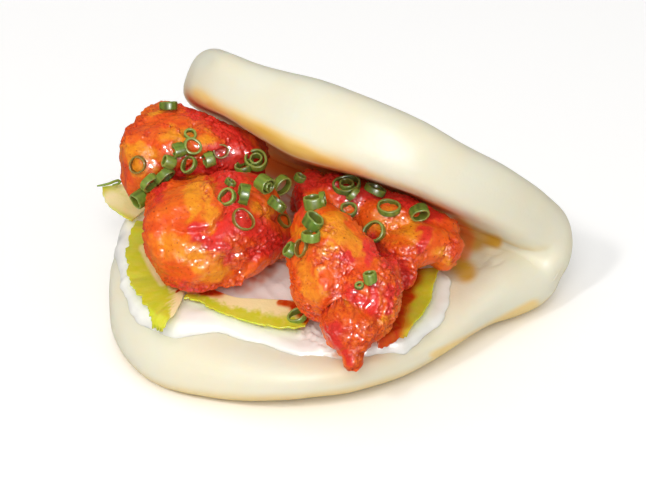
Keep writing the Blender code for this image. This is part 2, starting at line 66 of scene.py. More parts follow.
# The dough: one oval sheet, folded over, as in the part's source.
FOLD_LENGTH = 94 * MM
BOTTOM_REACH = 85.5 * MM
LID_REACH = 66.5 * MM
BOTTOM_THICKNESS = 15.2 * MM
LID_THICKNESS = 13.9 * MM
FOLD_THICKNESS = 13.2 * MM
RIM_ROUNDING = 9 * MM
RIM_POWER_BOTTOM = 2.3
RIM_POWER_LID = 3.5
LID_OPENING = math.radians(44.3)
LID_SAG_PER_METRE = 3.0
SQUARENESS_LEFT = 2.4
SQUARENESS_RIGHT = 2.6
SQUARENESS_LID = 2.44
RIGHT_SIDE_THINNING = 5 * MM
RIGHT_EDGE_LIFT = 3 * MM
FOLD_END_BULGE = 0.025
WAIST_PINCH = 0.024
FOLD_FROM_ORIGIN = 38 * MM
FOLD_INNER_RADIUS = 1 * MM
# How far from the fold its own thickness, its bulge and its pinch act.
FOLD_THICKNESS_REACH = 14 * MM
FOLD_BULGE_REACH = 9 * MM
PINCH_FROM_FOLD = 26 * MM
PINCH_REACH = 11 * MM
# Where each of these begins and is full, across the sheet or along it from the fold.
RIM_POWER_CHANGES = (0, 26 * MM)
THINNING_ACROSS = (0, 36 * MM)
THINNING_ALONG = (4 * MM, 45 * MM)
EDGE_LIFT_ACROSS = (5 * MM, 30 * MM)
EDGE_LIFT_ALONG = (6 * MM, 28 * MM)
# The edge lift ends this far in from the outline, and rises by this power towards it.
EDGE_LIFT_INSET = 22 * MM
EDGE_LIFT_POWER = 1.5
# Below this level of the outline's formula the rim's rounding is over.
WELL_INSIDE = 0.3
# The lower half's upper face is measured no nearer to the fold than this.
BELOW_FOLD = 0.01 * MM
# Shares of the lid's reach where its underside is measured, and where its rim's rounding begins.
LID_STATIONS = np.linspace(0.02, 1.0, 60)
LID_FLAT_UP_TO = 0.88

# Layers on the lower half.
CREAM_GAP = 0.45 * MM
CREAM_DEPTH = 2.3 * MM
CREAM_SWELL = 1.18
LEAF_GAP = 0.3 * MM
LEAF_DROOPS_WITHIN = (-3 * MM, 2 * MM)
CHICKEN_ABOVE_BREAD = 5.7 * MM
CHICKEN_BELOW_LID = 1.0 * MM
HALF_GAP_BETWEEN_PIECES = 0.3 * MM
DROOP_BEGINS_AND_ENDS = (12 * MM, 18 * MM)
FLOOR_EASE = 0.5 * MM
CEILING_EASE = 0.9 * MM
LEAST_ROOM_UNDER_LID = 1 * MM
# Within this much of the outline a piece may droop over the rim.
DROOPS_WITHIN_RIM = (1 * MM, 4 * MM)
# Behind this Y a piece is under the lid.
LID_SHADE = -9 * MM

# The photographed view. A spot is given in its picture's pixels, and lies where the line of
# sight meets what carries it.
IMAGE_SIZE = (646, 478)
VIEW_TURN = math.radians(38.4)
VIEW_RISE = math.radians(30.8)
VIEW_DISTANCE = 0.7
VIEW_PIXELS_PER_METRE = 4400
VIEW_PIXELS_PER_MM = VIEW_PIXELS_PER_METRE * MM
VIEW_CENTRE = (0.0, FOLD_FROM_ORIGIN - 25 * MM, 18 * MM)
VIEW_CENTRE_PIXEL = (312.5, 230.0)
SENSOR_WIDTH_MM = 36.0
# Cosine of the angle between a surface and the view: turned away below the first value, facing
# the view above the second.
FACES_VIEW = (-0.05, 0.3)

# Keeps a division by nothing away.
TINY = 1e-6


# The view

def smooth_step(value, low, high):
    """0 below low, 1 above high, an S curve between."""
    q = np.clip((value - low) / (high - low), 0, 1)
    return q * q * (3 - 2 * q)


def bearing(turn, rise):
    """The unit vector that points this far round from -Y towards +X, and this far up."""
    return np.array([math.sin(turn) * math.cos(rise), -math.cos(turn) * math.cos(rise), math.sin(rise)])


def view_axes():
    """The view's right, up and backward unit vectors."""
    back = bearing(VIEW_TURN, VIEW_RISE)
    right = np.array([math.cos(VIEW_TURN), math.sin(VIEW_TURN), 0.0])
    return right, np.cross(back, right), back


def sight_line(pixel):
    """Start point and unit direction of the line of sight through a pixel of the view."""
    right, up, back = view_axes()
    eye = np.array(VIEW_CENTRE) + back * VIEW_DISTANCE
    focal = VIEW_PIXELS_PER_METRE * VIEW_DISTANCE
    across = (pixel[0] - VIEW_CENTRE_PIXEL[0]) / focal
    down = (pixel[1] - VIEW_CENTRE_PIXEL[1]) / focal
    direction = right * across - up * down - back
    return eye, direction / np.linalg.norm(direction)


def pixels_of(points):
    """The view's pixels that points are seen at."""
    right, up, back = view_axes()
    offset = points - np.array(VIEW_CENTRE)
    scale = VIEW_PIXELS_PER_METRE * VIEW_DISTANCE / (VIEW_DISTANCE - offset @ back)
    return np.stack([
        VIEW_CENTRE_PIXEL[0] + scale * (offset @ right),
        VIEW_CENTRE_PIXEL[1] - scale * (offset @ up),
    ], axis=-1)


def at_height(pixel, height):
    """The point of a pixel's line of sight that is at this height."""
    eye, direction = sight_line(pixel)
    return eye + direction * (height - eye[2]) / direction[2]


# Repeatable noise and smooth curves

# Large odd numbers that scatter the lattice's whole numbers, and 32 and 31 bits set.
SCATTER_X = 73856093
SCATTER_Y = 19349663
SCATTER_Z = 83492791
SCATTER_SEED = 2654435761
SCATTER_AGAIN = 1274126177
BITS_32 = 0xFFFFFFFF
BITS_31 = 0x7FFFFFFF
# Keeps the lattice's whole numbers above zero.
LATTICE_SHIFT = 1000.0
# How far a nodule's centre strays from its cell's middle, and its reach, both in cells.
NODULE_STRAYS = 0.38
NODULE_REACH = 0.72


def lattice_value(i, j, k, seed):
    """A repeatable value in -1..1 for each whole-numbered lattice point."""
    mixed = (i * SCATTER_X) ^ (j * SCATTER_Y) ^ (k * SCATTER_Z) ^ (seed * SCATTER_SEED)
    mixed = (mixed ^ (mixed >> 13)) * SCATTER_AGAIN
    mixed = mixed & BITS_32
    return (mixed ^ (mixed >> 16)) / BITS_31 - 1.0


def noise(points, wavelength, seed):
    """Smooth noise in -1..1: lattice values blended with a quintic curve."""
    scaled = points / wavelength + LATTICE_SHIFT
    cell = np.floor(scaled).astype(np.int64)
    f = scaled - cell
    f = f * f * f * (f * (f * 6 - 15) + 10)
    total = np.zeros(len(points))
    for corner in range(8):
        step = np.array([corner & 1, corner >> 1 & 1, corner >> 2 & 1])
        weight = np.prod(np.where(step == 1, f, 1 - f), axis=1)
        i, j, k = (cell + step).T
        total += weight * lattice_value(i, j, k, seed)
    return total


def nodules(points, spacing, seed):
    """Round bumps in 0..1: 1 - (distance to the nearest scattered centre / reach) squared.

    Each lattice cell holds one centre, moved off its middle by lattice values.
    """
    scaled = points / spacing + LATTICE_SHIFT
    cell = np.floor(scaled).astype(np.int64)
    nearest = np.full(len(points), np.inf)
    for corner in range(27):
        place = cell + np.array([corner % 3 - 1, corner // 3 % 3 - 1, corner // 9 - 1])
        i, j, k = place.T
        shift = np.stack([lattice_value(i, j, k, seed + axis) for axis in range(3)], axis=1)
        gap = np.linalg.norm(scaled - place - 0.5 - NODULE_STRAYS * shift, axis=1)
        nearest = np.minimum(nearest, gap)
    return np.clip(1 - (nearest / NODULE_REACH) ** 2, 0, 1)


def layered(pattern, points, layers, seed=0):
    """A sum of noise or nodules, each layer (height, size, number added to the seed)."""
    return sum(height * pattern(points, size, seed + number) for height, size, number in layers)


def smooth_curve(steps, values):
    """A smooth curve through evenly spaced values: a cubic through each four neighbours."""
    padded = np.concatenate([[2 * values[0] - values[1]], values, [2 * values[-1] - values[-2]]])
    first = np.minimum(np.floor(steps).astype(int), len(values) - 2)
    f = steps - first
    p0, p1, p2, p3 = (padded[first + k] for k in range(4))
    return 0.5 * (
        2 * p1 + (p2 - p0) * f + (2 * p0 - 5 * p1 + 4 * p2 - p3) * f ** 2
        + (3 * p1 - p0 - 3 * p2 + p3) * f ** 3)


# The dough's shape

def fold_arc():
    """Radius of the fold's middle line, and half its length along the sheet."""
    radius = FOLD_THICKNESS / 2 + FOLD_INNER_RADIUS
    return radius, radius * (math.pi - LID_OPENING) / 2


def sheet(across, along):
    """Measures of the flat sheet at places across (along the fold) and along (from it).

    The outline is a super-ellipse, |across / half|^n + |along / reach|^n = 1. Returns half
    the thickness inside the rim, the rim's rounding (0 at the outline, 1 inside), the
    thinning, the edge lift, the widening, and the inset from the outline.
    """
    half = FOLD_LENGTH / 2
    power = np.where(along < 0, np.where(across < 0, SQUARENESS_LEFT, SQUARENESS_RIGHT), SQUARENESS_LID)
    reach = np.where(along < 0, BOTTOM_REACH, LID_REACH)
    level = (np.abs(across / half) ** power + np.abs(along / reach) ** power) ** (1 / power)
    inset = (1 - level) * np.hypot(across, along) / np.maximum(level, TINY)
    edge = np.where(level < WELL_INSIDE, 1.0, np.clip(inset / RIM_ROUNDING, 0, 1))
    rim_change = smooth_step(along, *RIM_POWER_CHANGES)
    rim_power = RIM_POWER_BOTTOM + (RIM_POWER_LID - RIM_POWER_BOTTOM) * rim_change
    rounding = np.maximum(1 - (1 - edge) ** rim_power, 0) ** (1 / rim_power)
    thinning = (
        RIGHT_SIDE_THINNING * smooth_step(across, *THINNING_ACROSS) * smooth_step(-along, *THINNING_ALONG))
    full = np.where(along < 0, BOTTOM_THICKNESS - thinning, LID_THICKNESS)
    near_fold = np.exp(-(along / FOLD_THICKNESS_REACH) ** 2)
    full = full * (1 - near_fold) + FOLD_THICKNESS * near_fold
    lift = (
        RIGHT_EDGE_LIFT * smooth_step(across, *EDGE_LIFT_ACROSS) * smooth_step(-along, *EDGE_LIFT_ALONG)
        * (1 - np.clip(inset / EDGE_LIFT_INSET, 0, 1)) ** EDGE_LIFT_POWER
    )
    bulge = FOLD_END_BULGE * np.exp(-(along / FOLD_BULGE_REACH) ** 2)
    pinch = WAIST_PINCH * np.exp(-((-along - PINCH_FROM_FOLD) / PINCH_REACH) ** 2)
    widening = np.where(across > 0, 1 + bulge - pinch, 1.0)
    return full / 2, rounding, thinning, lift, widening, inset


def dough_point(s, v, side):
    """Points of the bun's skin.

    s and v run from -1 to 1 along the fold and across it, v = 0 on the fold, negative on
    the lower half. The sheet's middle line runs flat, turns round the fold's arc, then
    climbs at the lid's opening angle, which eases off along the lid. The skin stands half
    a thickness off it: side 1 is the inside of the bun, -1 the outside.
    """
    half = FOLD_LENGTH / 2
    across = half * np.sin(np.pi * s / 2)
    power = np.where(v < 0, np.where(s < 0, SQUARENESS_LEFT, SQUARENESS_RIGHT), SQUARENESS_LID)
    room = np.maximum(1 - np.abs(across / half) ** power, 0) ** (1 / power)
    along = v * room * np.where(v < 0, BOTTOM_REACH, LID_REACH)
    half_thickness, rounding, thinning, lift, widening, _ = sheet(across, along)
    half_thickness = half_thickness * rounding
    radius, arc = fold_arc()
    full_turn = math.pi - LID_OPENING
    turn = np.clip((along + arc) / radius, 0, full_turn)
    beyond = np.maximum(along - arc, 0)
    heading = full_turn + LID_SAG_PER_METRE * beyond
    y = radius * np.sin(turn) + np.minimum(along + arc, 0)
    y = y + (np.sin(heading) - math.sin(full_turn)) / LID_SAG_PER_METRE
    z = BOTTOM_THICKNESS / 2 + radius * (1 - np.cos(turn)) + lift
    z = z - (np.cos(heading) - math.cos(full_turn)) / LID_SAG_PER_METRE
    z = z - np.where(v < 0, thinning / 2, 0)
    facing = turn + LID_SAG_PER_METRE * beyond
    y = y - side * half_thickness * np.sin(facing) + FOLD_FROM_ORIGIN
    z = z + side * half_thickness * np.cos(facing)
    return np.stack([across * widening, y, z], axis=-1)


def bread_top(x, y):
    """The lower half's upper face at x, y: its height, its height were the rim not rounded
    off, and the inset from the outline."""
    _, arc = fold_arc()
    along = np.minimum(y - FOLD_FROM_ORIGIN - arc, -BELOW_FOLD)
    widening = sheet(x, along)[4]
    half_thickness, rounding, thinning, lift, _, inset = sheet(x / widening, along)
    middle = BOTTOM_THICKNESS / 2 - thinning / 2 + lift
    return middle + half_thickness * rounding, middle + half_thickness, inset


def lid_underside(y):
    """Height of the lid's inner face at y, taken at X = 0."""
    skin = dough_point(np.zeros(len(LID_STATIONS)), LID_STATIONS, np.ones(len(LID_STATIONS)))
    flat = LID_STATIONS < LID_FLAT_UP_TO
    order = np.argsort(skin[flat, 1])
    return np.interp(y, skin[flat, 1][order], skin[flat, 2][order])


# Meshes

def ring_faces(rings, around, closed=False):
    """Four-sided faces between neighbouring rings of points, each ring closed on itself.

    Vertex number = ring * around + place. closed also joins the last ring to the first.
    """
    ring = np.arange(rings if closed else rings - 1)
    r, p = np.meshgrid(ring, np.arange(around), indexing="ij")
    r2 = (r + 1) % rings
    p2 = (p + 1) % around
    quads = np.stack([r * around + p, r * around + p2, r2 * around + p2, r2 * around + p], axis=-1)
    return quads.reshape(-1, 4).tolist()


def outward(points, faces):
    """The faces of a closed surface, turned so that they look outward.

    Its volume, from fans of triangles over each face, is above 0 when they do.
    """
    volume = 0.0
    for corners in (3, 4):
        chosen = np.array([face for face in faces if len(face) == corners])
        for k in range(1, corners - 1) if len(chosen) else ():
            a, b, c = points[chosen[:, 0]], points[chosen[:, k]], points[chosen[:, k + 1]]
            volume += np.sum(a * np.cross(b, c))
    return [face[::-1] for face in faces] if volume < 0 else faces


def capped_rings(grid, first, last):
    """Points and outward faces of closed rings whose two open ends are drawn to single points."""
    rings, around = grid.shape[:2]
    points = np.concatenate([grid.reshape(-1, 3), [first], [last]])
    place = np.arange(around)
    after = (place + 1) % around
    top = rings * around
    end = top - around
    fan_first = np.stack([np.full(around, top), after, place], axis=-1)
    fan_last = np.stack([np.full(around, top + 1), end + place, end + after], axis=-1)
    return points, outward(points, ring_faces(rings, around) + fan_first.tolist() + fan_last.tolist())


def join(parts):
    """Several (points, faces) pairs as one."""
    points, faces, start = [], [], 0
    for some_points, some_faces in parts:
        points.append(some_points)
        faces += [[corner + start for corner in face] for face in some_faces]
        start += len(some_points)
    return np.concatenate(points), faces


def smooth_mesh(name, points, faces):
    """A smooth-shaded mesh of these points and faces."""
    mesh = bpy.data.meshes.new(name)
    mesh.from_pydata(points.tolist(), [], faces)
    mesh.shade_smooth()
    mesh.update()
    return mesh


def points_of(mesh):
    """The mesh's points as an array."""
    points = np.empty(len(mesh.vertices) * 3)
    mesh.vertices.foreach_get("co", points)
    return points.reshape(-1, 3)


def normals_of(mesh):
    """The mesh's vertex normals as an array."""
    normals = np.empty(len(mesh.vertices) * 3, np.float32)
    mesh.vertex_normals.foreach_get("vector", normals)
    return normals.reshape(-1, 3).astype(float)


def move_points(mesh, points):
    """Put the mesh's points where the array says."""
    mesh.vertices.foreach_set("co", points.ravel())
    mesh.update()


def paint(mesh, **layers):
    """Keep an array of values, one a vertex, as named attributes of the mesh."""
    for name, values in layers.items():
        layer = mesh.attributes.new(name, "FLOAT", "POINT")
        layer.data.foreach_set("value", np.clip(values, 0, 1).astype(np.float32))


def add_piece(name, mesh, finish, slot_name, *nodes):
    """Link a finished mesh as a piece of the part that rides on its body and stands for nodes."""
    mesh.materials.append(finish)
    piece = bpy.data.objects.new(name, mesh)
    bpy.context.scene.collection.objects.link(piece)
    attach(piece, "root")
    if nodes:
        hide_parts(*nodes)
    return piece


def surface_of(mesh):
    """A search tree of the mesh's faces."""
    return BVHTree.FromPolygons(points_of(mesh).tolist(), [tuple(p.vertices) for p in mesh.polygons])


# Brush strokes

# In half widths: a stroke is full up to the first and has ended at the second.
STROKE_EDGE = (0.5, 1.5)


def stroke_cover(pixels, strokes):
    """How far strokes cover points seen at these pixels, 0 to 1.

    A stroke is (half width in mm, pixel, pixel, ...): 1 along its line, easing to 0 at 1.5
    half widths.
    """
    cover = np.zeros(len(pixels))
    for width, *line in strokes:
        line = np.array(line, float)
        starts = line[:-1] if len(line) > 1 else line
        ends = line[1:] if len(line) > 1 else line
        for start, end in zip(starts, ends):
            span = end - start
            along = np.clip((pixels - start) @ span / max(span @ span, TINY), 0, 1)
            gap = np.linalg.norm(pixels - start - along[:, None] * span, axis=1)
            reach = width * VIEW_PIXELS_PER_MM
            cover = np.maximum(cover, 1 - smooth_step(gap, STROKE_EDGE[0] * reach, STROKE_EDGE[1] * reach))
    return cover


def facing_view(normals):
    """1 where a surface faces the photographed view, 0 where it turns away."""
    return smooth_step(normals @ view_axes()[2], *FACES_VIEW)


# Materials

def feed(tree, node, inputs):
    """Give a node its inputs, each a constant, or a socket to link from."""
    for key, value in inputs.items():
        if isinstance(value, bpy.types.NodeSocket):
            tree.links.new(value, node.inputs[key])
        else:
            node.inputs[key].default_value = value


def add_node(tree, kind, inputs=None, **settings):
    """A node with its settings and its inputs."""
    node = tree.nodes.new(kind)
    for key, value in settings.items():
        setattr(node, key, value)
    feed(tree, node, inputs or {})
    return node


def start_group(name, inputs, output):
    """A group with float inputs and their defaults, one output, and a node for places on the piece."""
    tree = bpy.data.node_groups.new(name, "ShaderNodeTree")
    for socket_name, default in inputs.items():
        made = tree.interface.new_socket(socket_name, in_out="INPUT", socket_type="NodeSocketFloat")
        made.default_value = default
    tree.interface.new_socket(output, in_out="OUTPUT", socket_type="NodeSocketFloat")
    place = add_node(tree, "ShaderNodeTexCoord").outputs["Object"]
    return tree, tree.nodes.new("NodeGroupInput"), tree.nodes.new("NodeGroupOutput"), place


def mottle_group():
    """Mottle: soft patches. Noise at Scale, cut to 0..1 between From and To."""
    tree, given, result, place = start_group(
        "mottle", {"Scale": 200.0, "Detail": 3.0, "From": 0.4, "To": 0.6}, "Mask")
    grain = add_node(tree, "ShaderNodeTexNoise", {
        "Vector": place,
        "Scale": given.outputs["Scale"],
        "Detail": given.outputs["Detail"],
    })
    cut = add_node(tree, "ShaderNodeMapRange", {
        "Value": grain.outputs["Fac"],
        "From Min": given.outputs["From"],
        "From Max": given.outputs["To"],
    }, interpolation_type="SMOOTHSTEP")
    tree.links.new(cut.outputs["Result"], result.inputs["Mask"])
    return tree


def speck_group():
    """Specks: round dots of Radius (as a share of a cell) in the Share of cells that hold one."""
    tree, given, result, place = start_group(
        "specks", {"Scale": 500.0, "Radius": 0.25, "Share": 0.3}, "Mask")
    cells = add_node(tree, "ShaderNodeTexVoronoi", {"Vector": place, "Scale": given.outputs["Scale"]})
    inside = add_node(tree, "ShaderNodeMath", {
        0: given.outputs["Radius"], 1: cells.outputs["Distance"]}, operation="GREATER_THAN")
    draw = add_node(tree, "ShaderNodeSeparateColor", {"Color": cells.outputs["Color"]})
    chosen = add_node(tree, "ShaderNodeMath", {
        0: given.outputs["Share"], 1: draw.outputs["Red"]}, operation="GREATER_THAN")
    both = add_node(tree, "ShaderNodeMath", {
        0: inside.outputs[0], 1: chosen.outputs[0]}, operation="MULTIPLY")
    tree.links.new(both.outputs[0], result.inputs["Mask"])
    return tree


def relief_group():
    """Relief: coarse noise at Scale plus Fine share of noise four times finer, as a height."""
    tree, given, result, place = start_group("relief", {"Scale": 600.0, "Fine": 0.4}, "Height")
    coarse = add_node(tree, "ShaderNodeTexNoise", {
        "Vector": place, "Scale": given.outputs["Scale"], "Detail": 2.0})
    finer = add_node(tree, "ShaderNodeMath", {0: given.outputs["Scale"], 1: 4.0}, operation="MULTIPLY")
    fine = add_node(tree, "ShaderNodeTexNoise", {
        "Vector": place, "Scale": finer.outputs[0], "Detail": 1.0})
    share = add_node(tree, "ShaderNodeMath", {
        0: fine.outputs["Fac"], 1: given.outputs["Fine"], 2: coarse.outputs["Fac"]},
        operation="MULTIPLY_ADD")
    tree.links.new(share.outputs[0], result.inputs["Height"])
    return tree


EFFECTS = {"mottle": mottle_group, "specks": speck_group, "relief": relief_group}


def effect(tree, name, **inputs):
    """Place a shared effect's group, made at its first use, and return its output socket."""
    group = bpy.data.node_groups.get(name) or EFFECTS[name]()
    return add_node(tree, "ShaderNodeGroup", inputs, node_tree=group).outputs[0]


def layer(tree, name):
    """The value of one of the mesh's painted attributes."""
    return add_node(tree, "ShaderNodeAttribute", attribute_name=name).outputs["Fac"]


def product(tree, one, two):
    """One value times another."""
    return add_node(tree, "ShaderNodeMath", {0: one, 1: two}, operation="MULTIPLY").outputs[0]


def blend(tree, mask, below, above, share=None):
    """A colour that goes from below to above as the mask, or a share of it, goes from 0 to 1."""
    if share:
        mask = product(tree, mask, share)
    below, above = (
        value if isinstance(value, bpy.types.NodeSocket) else (*value, 1.0) for value in (below, above))
    return add_node(tree, "ShaderNodeMix", {0: mask, 6: below, 7: above}, data_type="RGBA").outputs[2]


def between(tree, mask, low, high):
    """A value that goes from low to high as the mask goes from 0 to 1."""
    return add_node(tree, "ShaderNodeMapRange", {
        "Value": mask, "To Min": low, "To Max": high}).outputs["Result"]


def new_finish(name):
    """A material with its Principled shader, whose nodes the caller adds."""
    made = bpy.data.materials.new(name)
    made.use_nodes = True
    return made, made.node_tree, made.node_tree.nodes["Principled BSDF"]


def bump(tree, height, strength, distance):
    """Normals that a height bends, through a Bump node."""
    return add_node(tree, "ShaderNodeBump", {
        "Strength": strength, "Distance": distance, "Height": height}).outputs["Normal"]


# Steamed dough

class BaoDoughSettings(bpy.types.PropertyGroup):
    """The bun's dough."""
    colour: FloatVectorProperty(
        name="Dough colour", description="Colour of the steamed skin",
        subtype="COLOR", size=3, min=0, max=1, default=linear(229, 227, 209))
    # Painted warm shade: the colour painted where the skin faces down, on the lid's lip and at the low
    # edge; also a faint share of the mottle.
    shade_colour: FloatVectorProperty(
        name="Underside colour", description="Warmer colour of the underside and of the rim's shade",
        subtype="COLOR", size=3, min=0, max=1, default=linear(242, 209, 130))
    # Glaze colour, also used for painted shade and painted glaze-coloured bounce light inside the bun and
    # on the lid's lip.
    stain_colour: FloatVectorProperty(
        name="Stain colour", description="Colour of the thin glaze that has run onto the dough",
        subtype="COLOR", size=3, min=0, max=1, default=linear(222, 176, 62))
    # Darker glaze colour, used for the painted shade in the gaps under the lid and beside the chicken.
    deep_stain_colour: FloatVectorProperty(
        name="Deep stain colour", description="Colour of the thick glaze that has run onto the dough",
        subtype="COLOR", size=3, min=0, max=1, default=linear(244, 136, 66))
    unevenness: FloatProperty(
        name="Unevenness", description="Height of the skin's soft dents and swellings",
        unit="LENGTH", subtype="DISTANCE", min=0, max=0.002, default=0.00045)


# The one dark speck on the lid: its pixel, the pixels that its value fades over, and the value
# above which it shows.
DOUGH_SPECK = (315.5, 132.0)
SPECK_FADES_OVER = 8
SPECK_SHOWS_ABOVE = 0.86
SPECK_COLOUR = linear(70, 55, 40)


def dough_finish(settings):
    """Steamed dough: a pale satin skin, faintly mottled, with painted warm shade, glaze colour and painted
    shade.
    """
    made, tree, shader = new_finish("steamed_dough")
    patches = effect(tree, "mottle", Scale=70.0, Detail=2.0, From=0.35, To=0.7)
    colour = blend(tree, patches, settings.colour, settings.shade_colour, share=0.12)
    # Painted warm shade on the underside, the lid's lip and the low edge.
    colour = blend(tree, layer(tree, "warmth"), colour, settings.shade_colour)
    # Glaze colour with painted shade and bounce light inside and on the lip, then darker painted shade in
    # the gaps.
    colour = blend(tree, layer(tree, "stain"), colour, settings.stain_colour)
    colour = blend(tree, layer(tree, "deep"), colour, settings.deep_stain_colour)
    speck = add_node(tree, "ShaderNodeMath", {
        0: layer(tree, "speck"), 1: SPECK_SHOWS_ABOVE}, operation="GREATER_THAN")
    colour = blend(tree, speck.outputs[0], colour, SPECK_COLOUR)
    relief = effect(tree, "relief", Scale=420.0, Fine=0.5)
    feed(tree, shader, {
        "Base Color": colour,
        "Roughness": between(tree, patches, low=0.42, high=0.55),
        "Normal": bump(tree, relief, strength=0.12, distance=0.4 * MM),
        "Specular IOR Level": 0.1,
        "Subsurface Weight": 0.35,
        "Subsurface Scale": 4 * MM,
        "Subsurface Radius": (1.0, 0.7, 0.4),
    })
    return made


# The bun's mesh: stations along the fold, and places across half a section.
BUN_COLUMNS = 200
BUN_ROWS = 68
# The skin's soft unevenness: share of the setting, wavelength, seed.
SKIN_NOISE = ((1.0, 21 * MM, 3), (0.35, 8 * MM, 5))
# The relief begins and is full at these heights above the floor.
RELIEF_ABOVE_FLOOR = (0.3 * MM, 3 * MM)
# A swelling fades out where the skin turns away from the view: cosines of the angle between.
SWELLS_FACING = (-0.7, -0.2)
# The share of the room between the skin and the chicken that a swelling may take.
SWELLING_TAKES = 0.7
WRINKLE_DEPTH = 0.45 * MM
# Swellings and dents of the skin: view pixel, radius in mm, height in mm.
DOUGH_SWELLINGS = (
    ((217, 54), 4.6, 0.5),
    ((205, 58), 2.6, -0.8),
    ((255, 70), 9.0, -0.5),
    ((318, 84), 9.0, 1.0),
    ((366, 104), 9.0, 1.1),
    ((412, 124), 9.0, 1.0),
    ((150, 368), 8.0, 1.2),
    ((172, 384), 7.0, 1.0),
    ((452, 362), 8.0, -0.8),
    ((106, 300), 8.0, -1.0),
    ((300, 122), 10.0, 0.3),
    ((254, 130), 6.0, 0.8),
    ((290, 148), 8.0, 2.3),
    ((330, 166), 8.0, 1.3),
    ((372, 186), 7.0, 0.5),
    ((480, 262), 5.0, -0.45),
    ((505, 268), 3.5, 0.35),
    ((562, 278), 2.4, -0.5),
    ((548, 262), 5.5, -0.3),
    ((340, 350), 10.0, 0.4),
)
# Wrinkles in the skin: half width in mm, then the pixels along each.
DOUGH_WRINKLES = (
    (0.3, (486, 249), (492, 252), (500, 253)),
    (0.4, (462, 256), (474, 259), (482, 264)),
    (0.4, (486, 258), (492, 263), (500, 262)),
)

# Painted shade on the inside of the bun, in the glaze's colours, thin and thick: half width in mm, then
# view pixels.
DOUGH_PAINTED_SHADE = (
    (2.6, (458, 230), (474, 240)),
    (1.4, (478, 237), (496, 242)),
    (2.4, (456, 262), (466, 272)),
    (5.0, (270, 150), (330, 178)),
    (1.6, (350, 184), (440, 212)),
)
DOUGH_DEEP_PAINTED_SHADE = (
    (4.5, (258, 146), (290, 165), (330, 180), (350, 188)),
    (2.0, (455, 224), (466, 238), (462, 252)),
)

# The lid's lower lip: painted warm shade, and painted glaze-coloured bounce light with painted shade.
LID_LIP_SHADE = (
    (2.4, (196, 99), (217, 112), (255, 131), (288, 147), (320, 162), (355, 177), (400, 196), (430, 209)),
)
# Painted glaze-coloured bounce light and painted shade on the lid's lower lip: half width in mm, then view
# pixels.
LID_LIP_GLAZE_BOUNCE = ((1.5, (210, 108), (230, 119), (262, 134), (290, 148), (322, 163), (352, 176)),)
# The lower half's front edge: painted warm shade where it nears the floor.
LOW_EDGE_SHADE = ((1.3, (436, 356), (470, 340), (500, 323), (534, 305)),)
# The glaze colour and painted shade inside begin and are full above these heights, to the right of and
# behind these places.
GLAZE_AND_SHADE_ABOVE = (6 * MM, 10 * MM)
GLAZE_AND_SHADE_RIGHT_OF = (-42 * MM, -33 * MM)
STROKES_BEHIND = (-6 * MM, 4 * MM)
# How far glaze colour with painted shade and bounce light spreads from the chicken onto the dough, and its
# unevenness: wavelength, seed.
GLAZE_AND_SHADE_SPREADS = 2.6 * MM
GLAZE_AND_SHADE_NOISE = (4 * MM, 12)
# The underside gets painted warm shade where it faces down this much, and below these heights: -Z, from and
# to.
SHADE_FACING_DOWN = (0.1, 0.8)
SHADE_BELOW = (-22 * MM, -10 * MM)


def bun_grid(columns, rows):
    """The bun's skin as closed sections across the fold, one a station along it.

    A section runs over the inner face from the lower rim to the lid's rim and back over the
    outer face, its places spaced closer at the rims by a cosine. Also returns the two ends,
    and for each point of the capped rings 1 on the inner face and 0 on the outer one.
    """
    swing = 0.5 - 0.5 * np.cos(np.pi * np.arange(rows + 1) / rows)
    inner_v = np.concatenate([-swing[:0:-1], swing])
    v = np.concatenate([inner_v, inner_v[-2:0:-1]])
    side = np.concatenate([np.ones(len(inner_v)), -np.ones(len(inner_v) - 2)])
    stations = np.linspace(-1, 1, columns + 1)[1:-1]
    grid_s, grid_v = np.meshgrid(stations, v, indexing="ij")
    ends = [dough_point(np.array([s]), np.array([0.0]), np.array([1.0]))[0] for s in (-1.0, 1.0)]
    inner = np.concatenate([np.tile(side > 0, columns - 1), [False, False]]).astype(float)
    return dough_point(grid_s, grid_v, side[None, :]), ends, inner


def shape_skin(mesh, inner, facing, settings):
    """Push the skin along its normals: uneven by noise, then swellings, less the wrinkles.

    A swelling is its height times e^-(distance / radius)^2. On the inner face it takes only a
    share of the room above the chicken, and there the skin stays plain under the cream.
    """
    points, normals = points_of(mesh), normals_of(mesh)
    seen = pixels_of(points)
    above_floor = smooth_step(points[:, 2], *RELIEF_ABOVE_FLOOR)
    swells = smooth_step(normals @ view_axes()[2], *SWELLS_FACING)
    push = settings.unevenness * layered(noise, points, SKIN_NOISE)
    push = push * (1 - inner * under_cream(points))
    swelling = np.zeros(len(points))
    for pixel, radius, height in DOUGH_SWELLINGS:
        gap = np.linalg.norm(seen - np.array(pixel), axis=1) / VIEW_PIXELS_PER_MM
        swelling += swells * height * MM * np.exp(-(gap / radius) ** 2)
    room = np.maximum(chicken_distance(points) - CHICKEN_BELOW_LID, 0)
    push += np.where(inner > 0, np.minimum(swelling, SWELLING_TAKES * room), swelling)
    push -= WRINKLE_DEPTH * facing * stroke_cover(seen, DOUGH_WRINKLES)
    move_points(mesh, points + normals * (push * above_floor)[:, None])


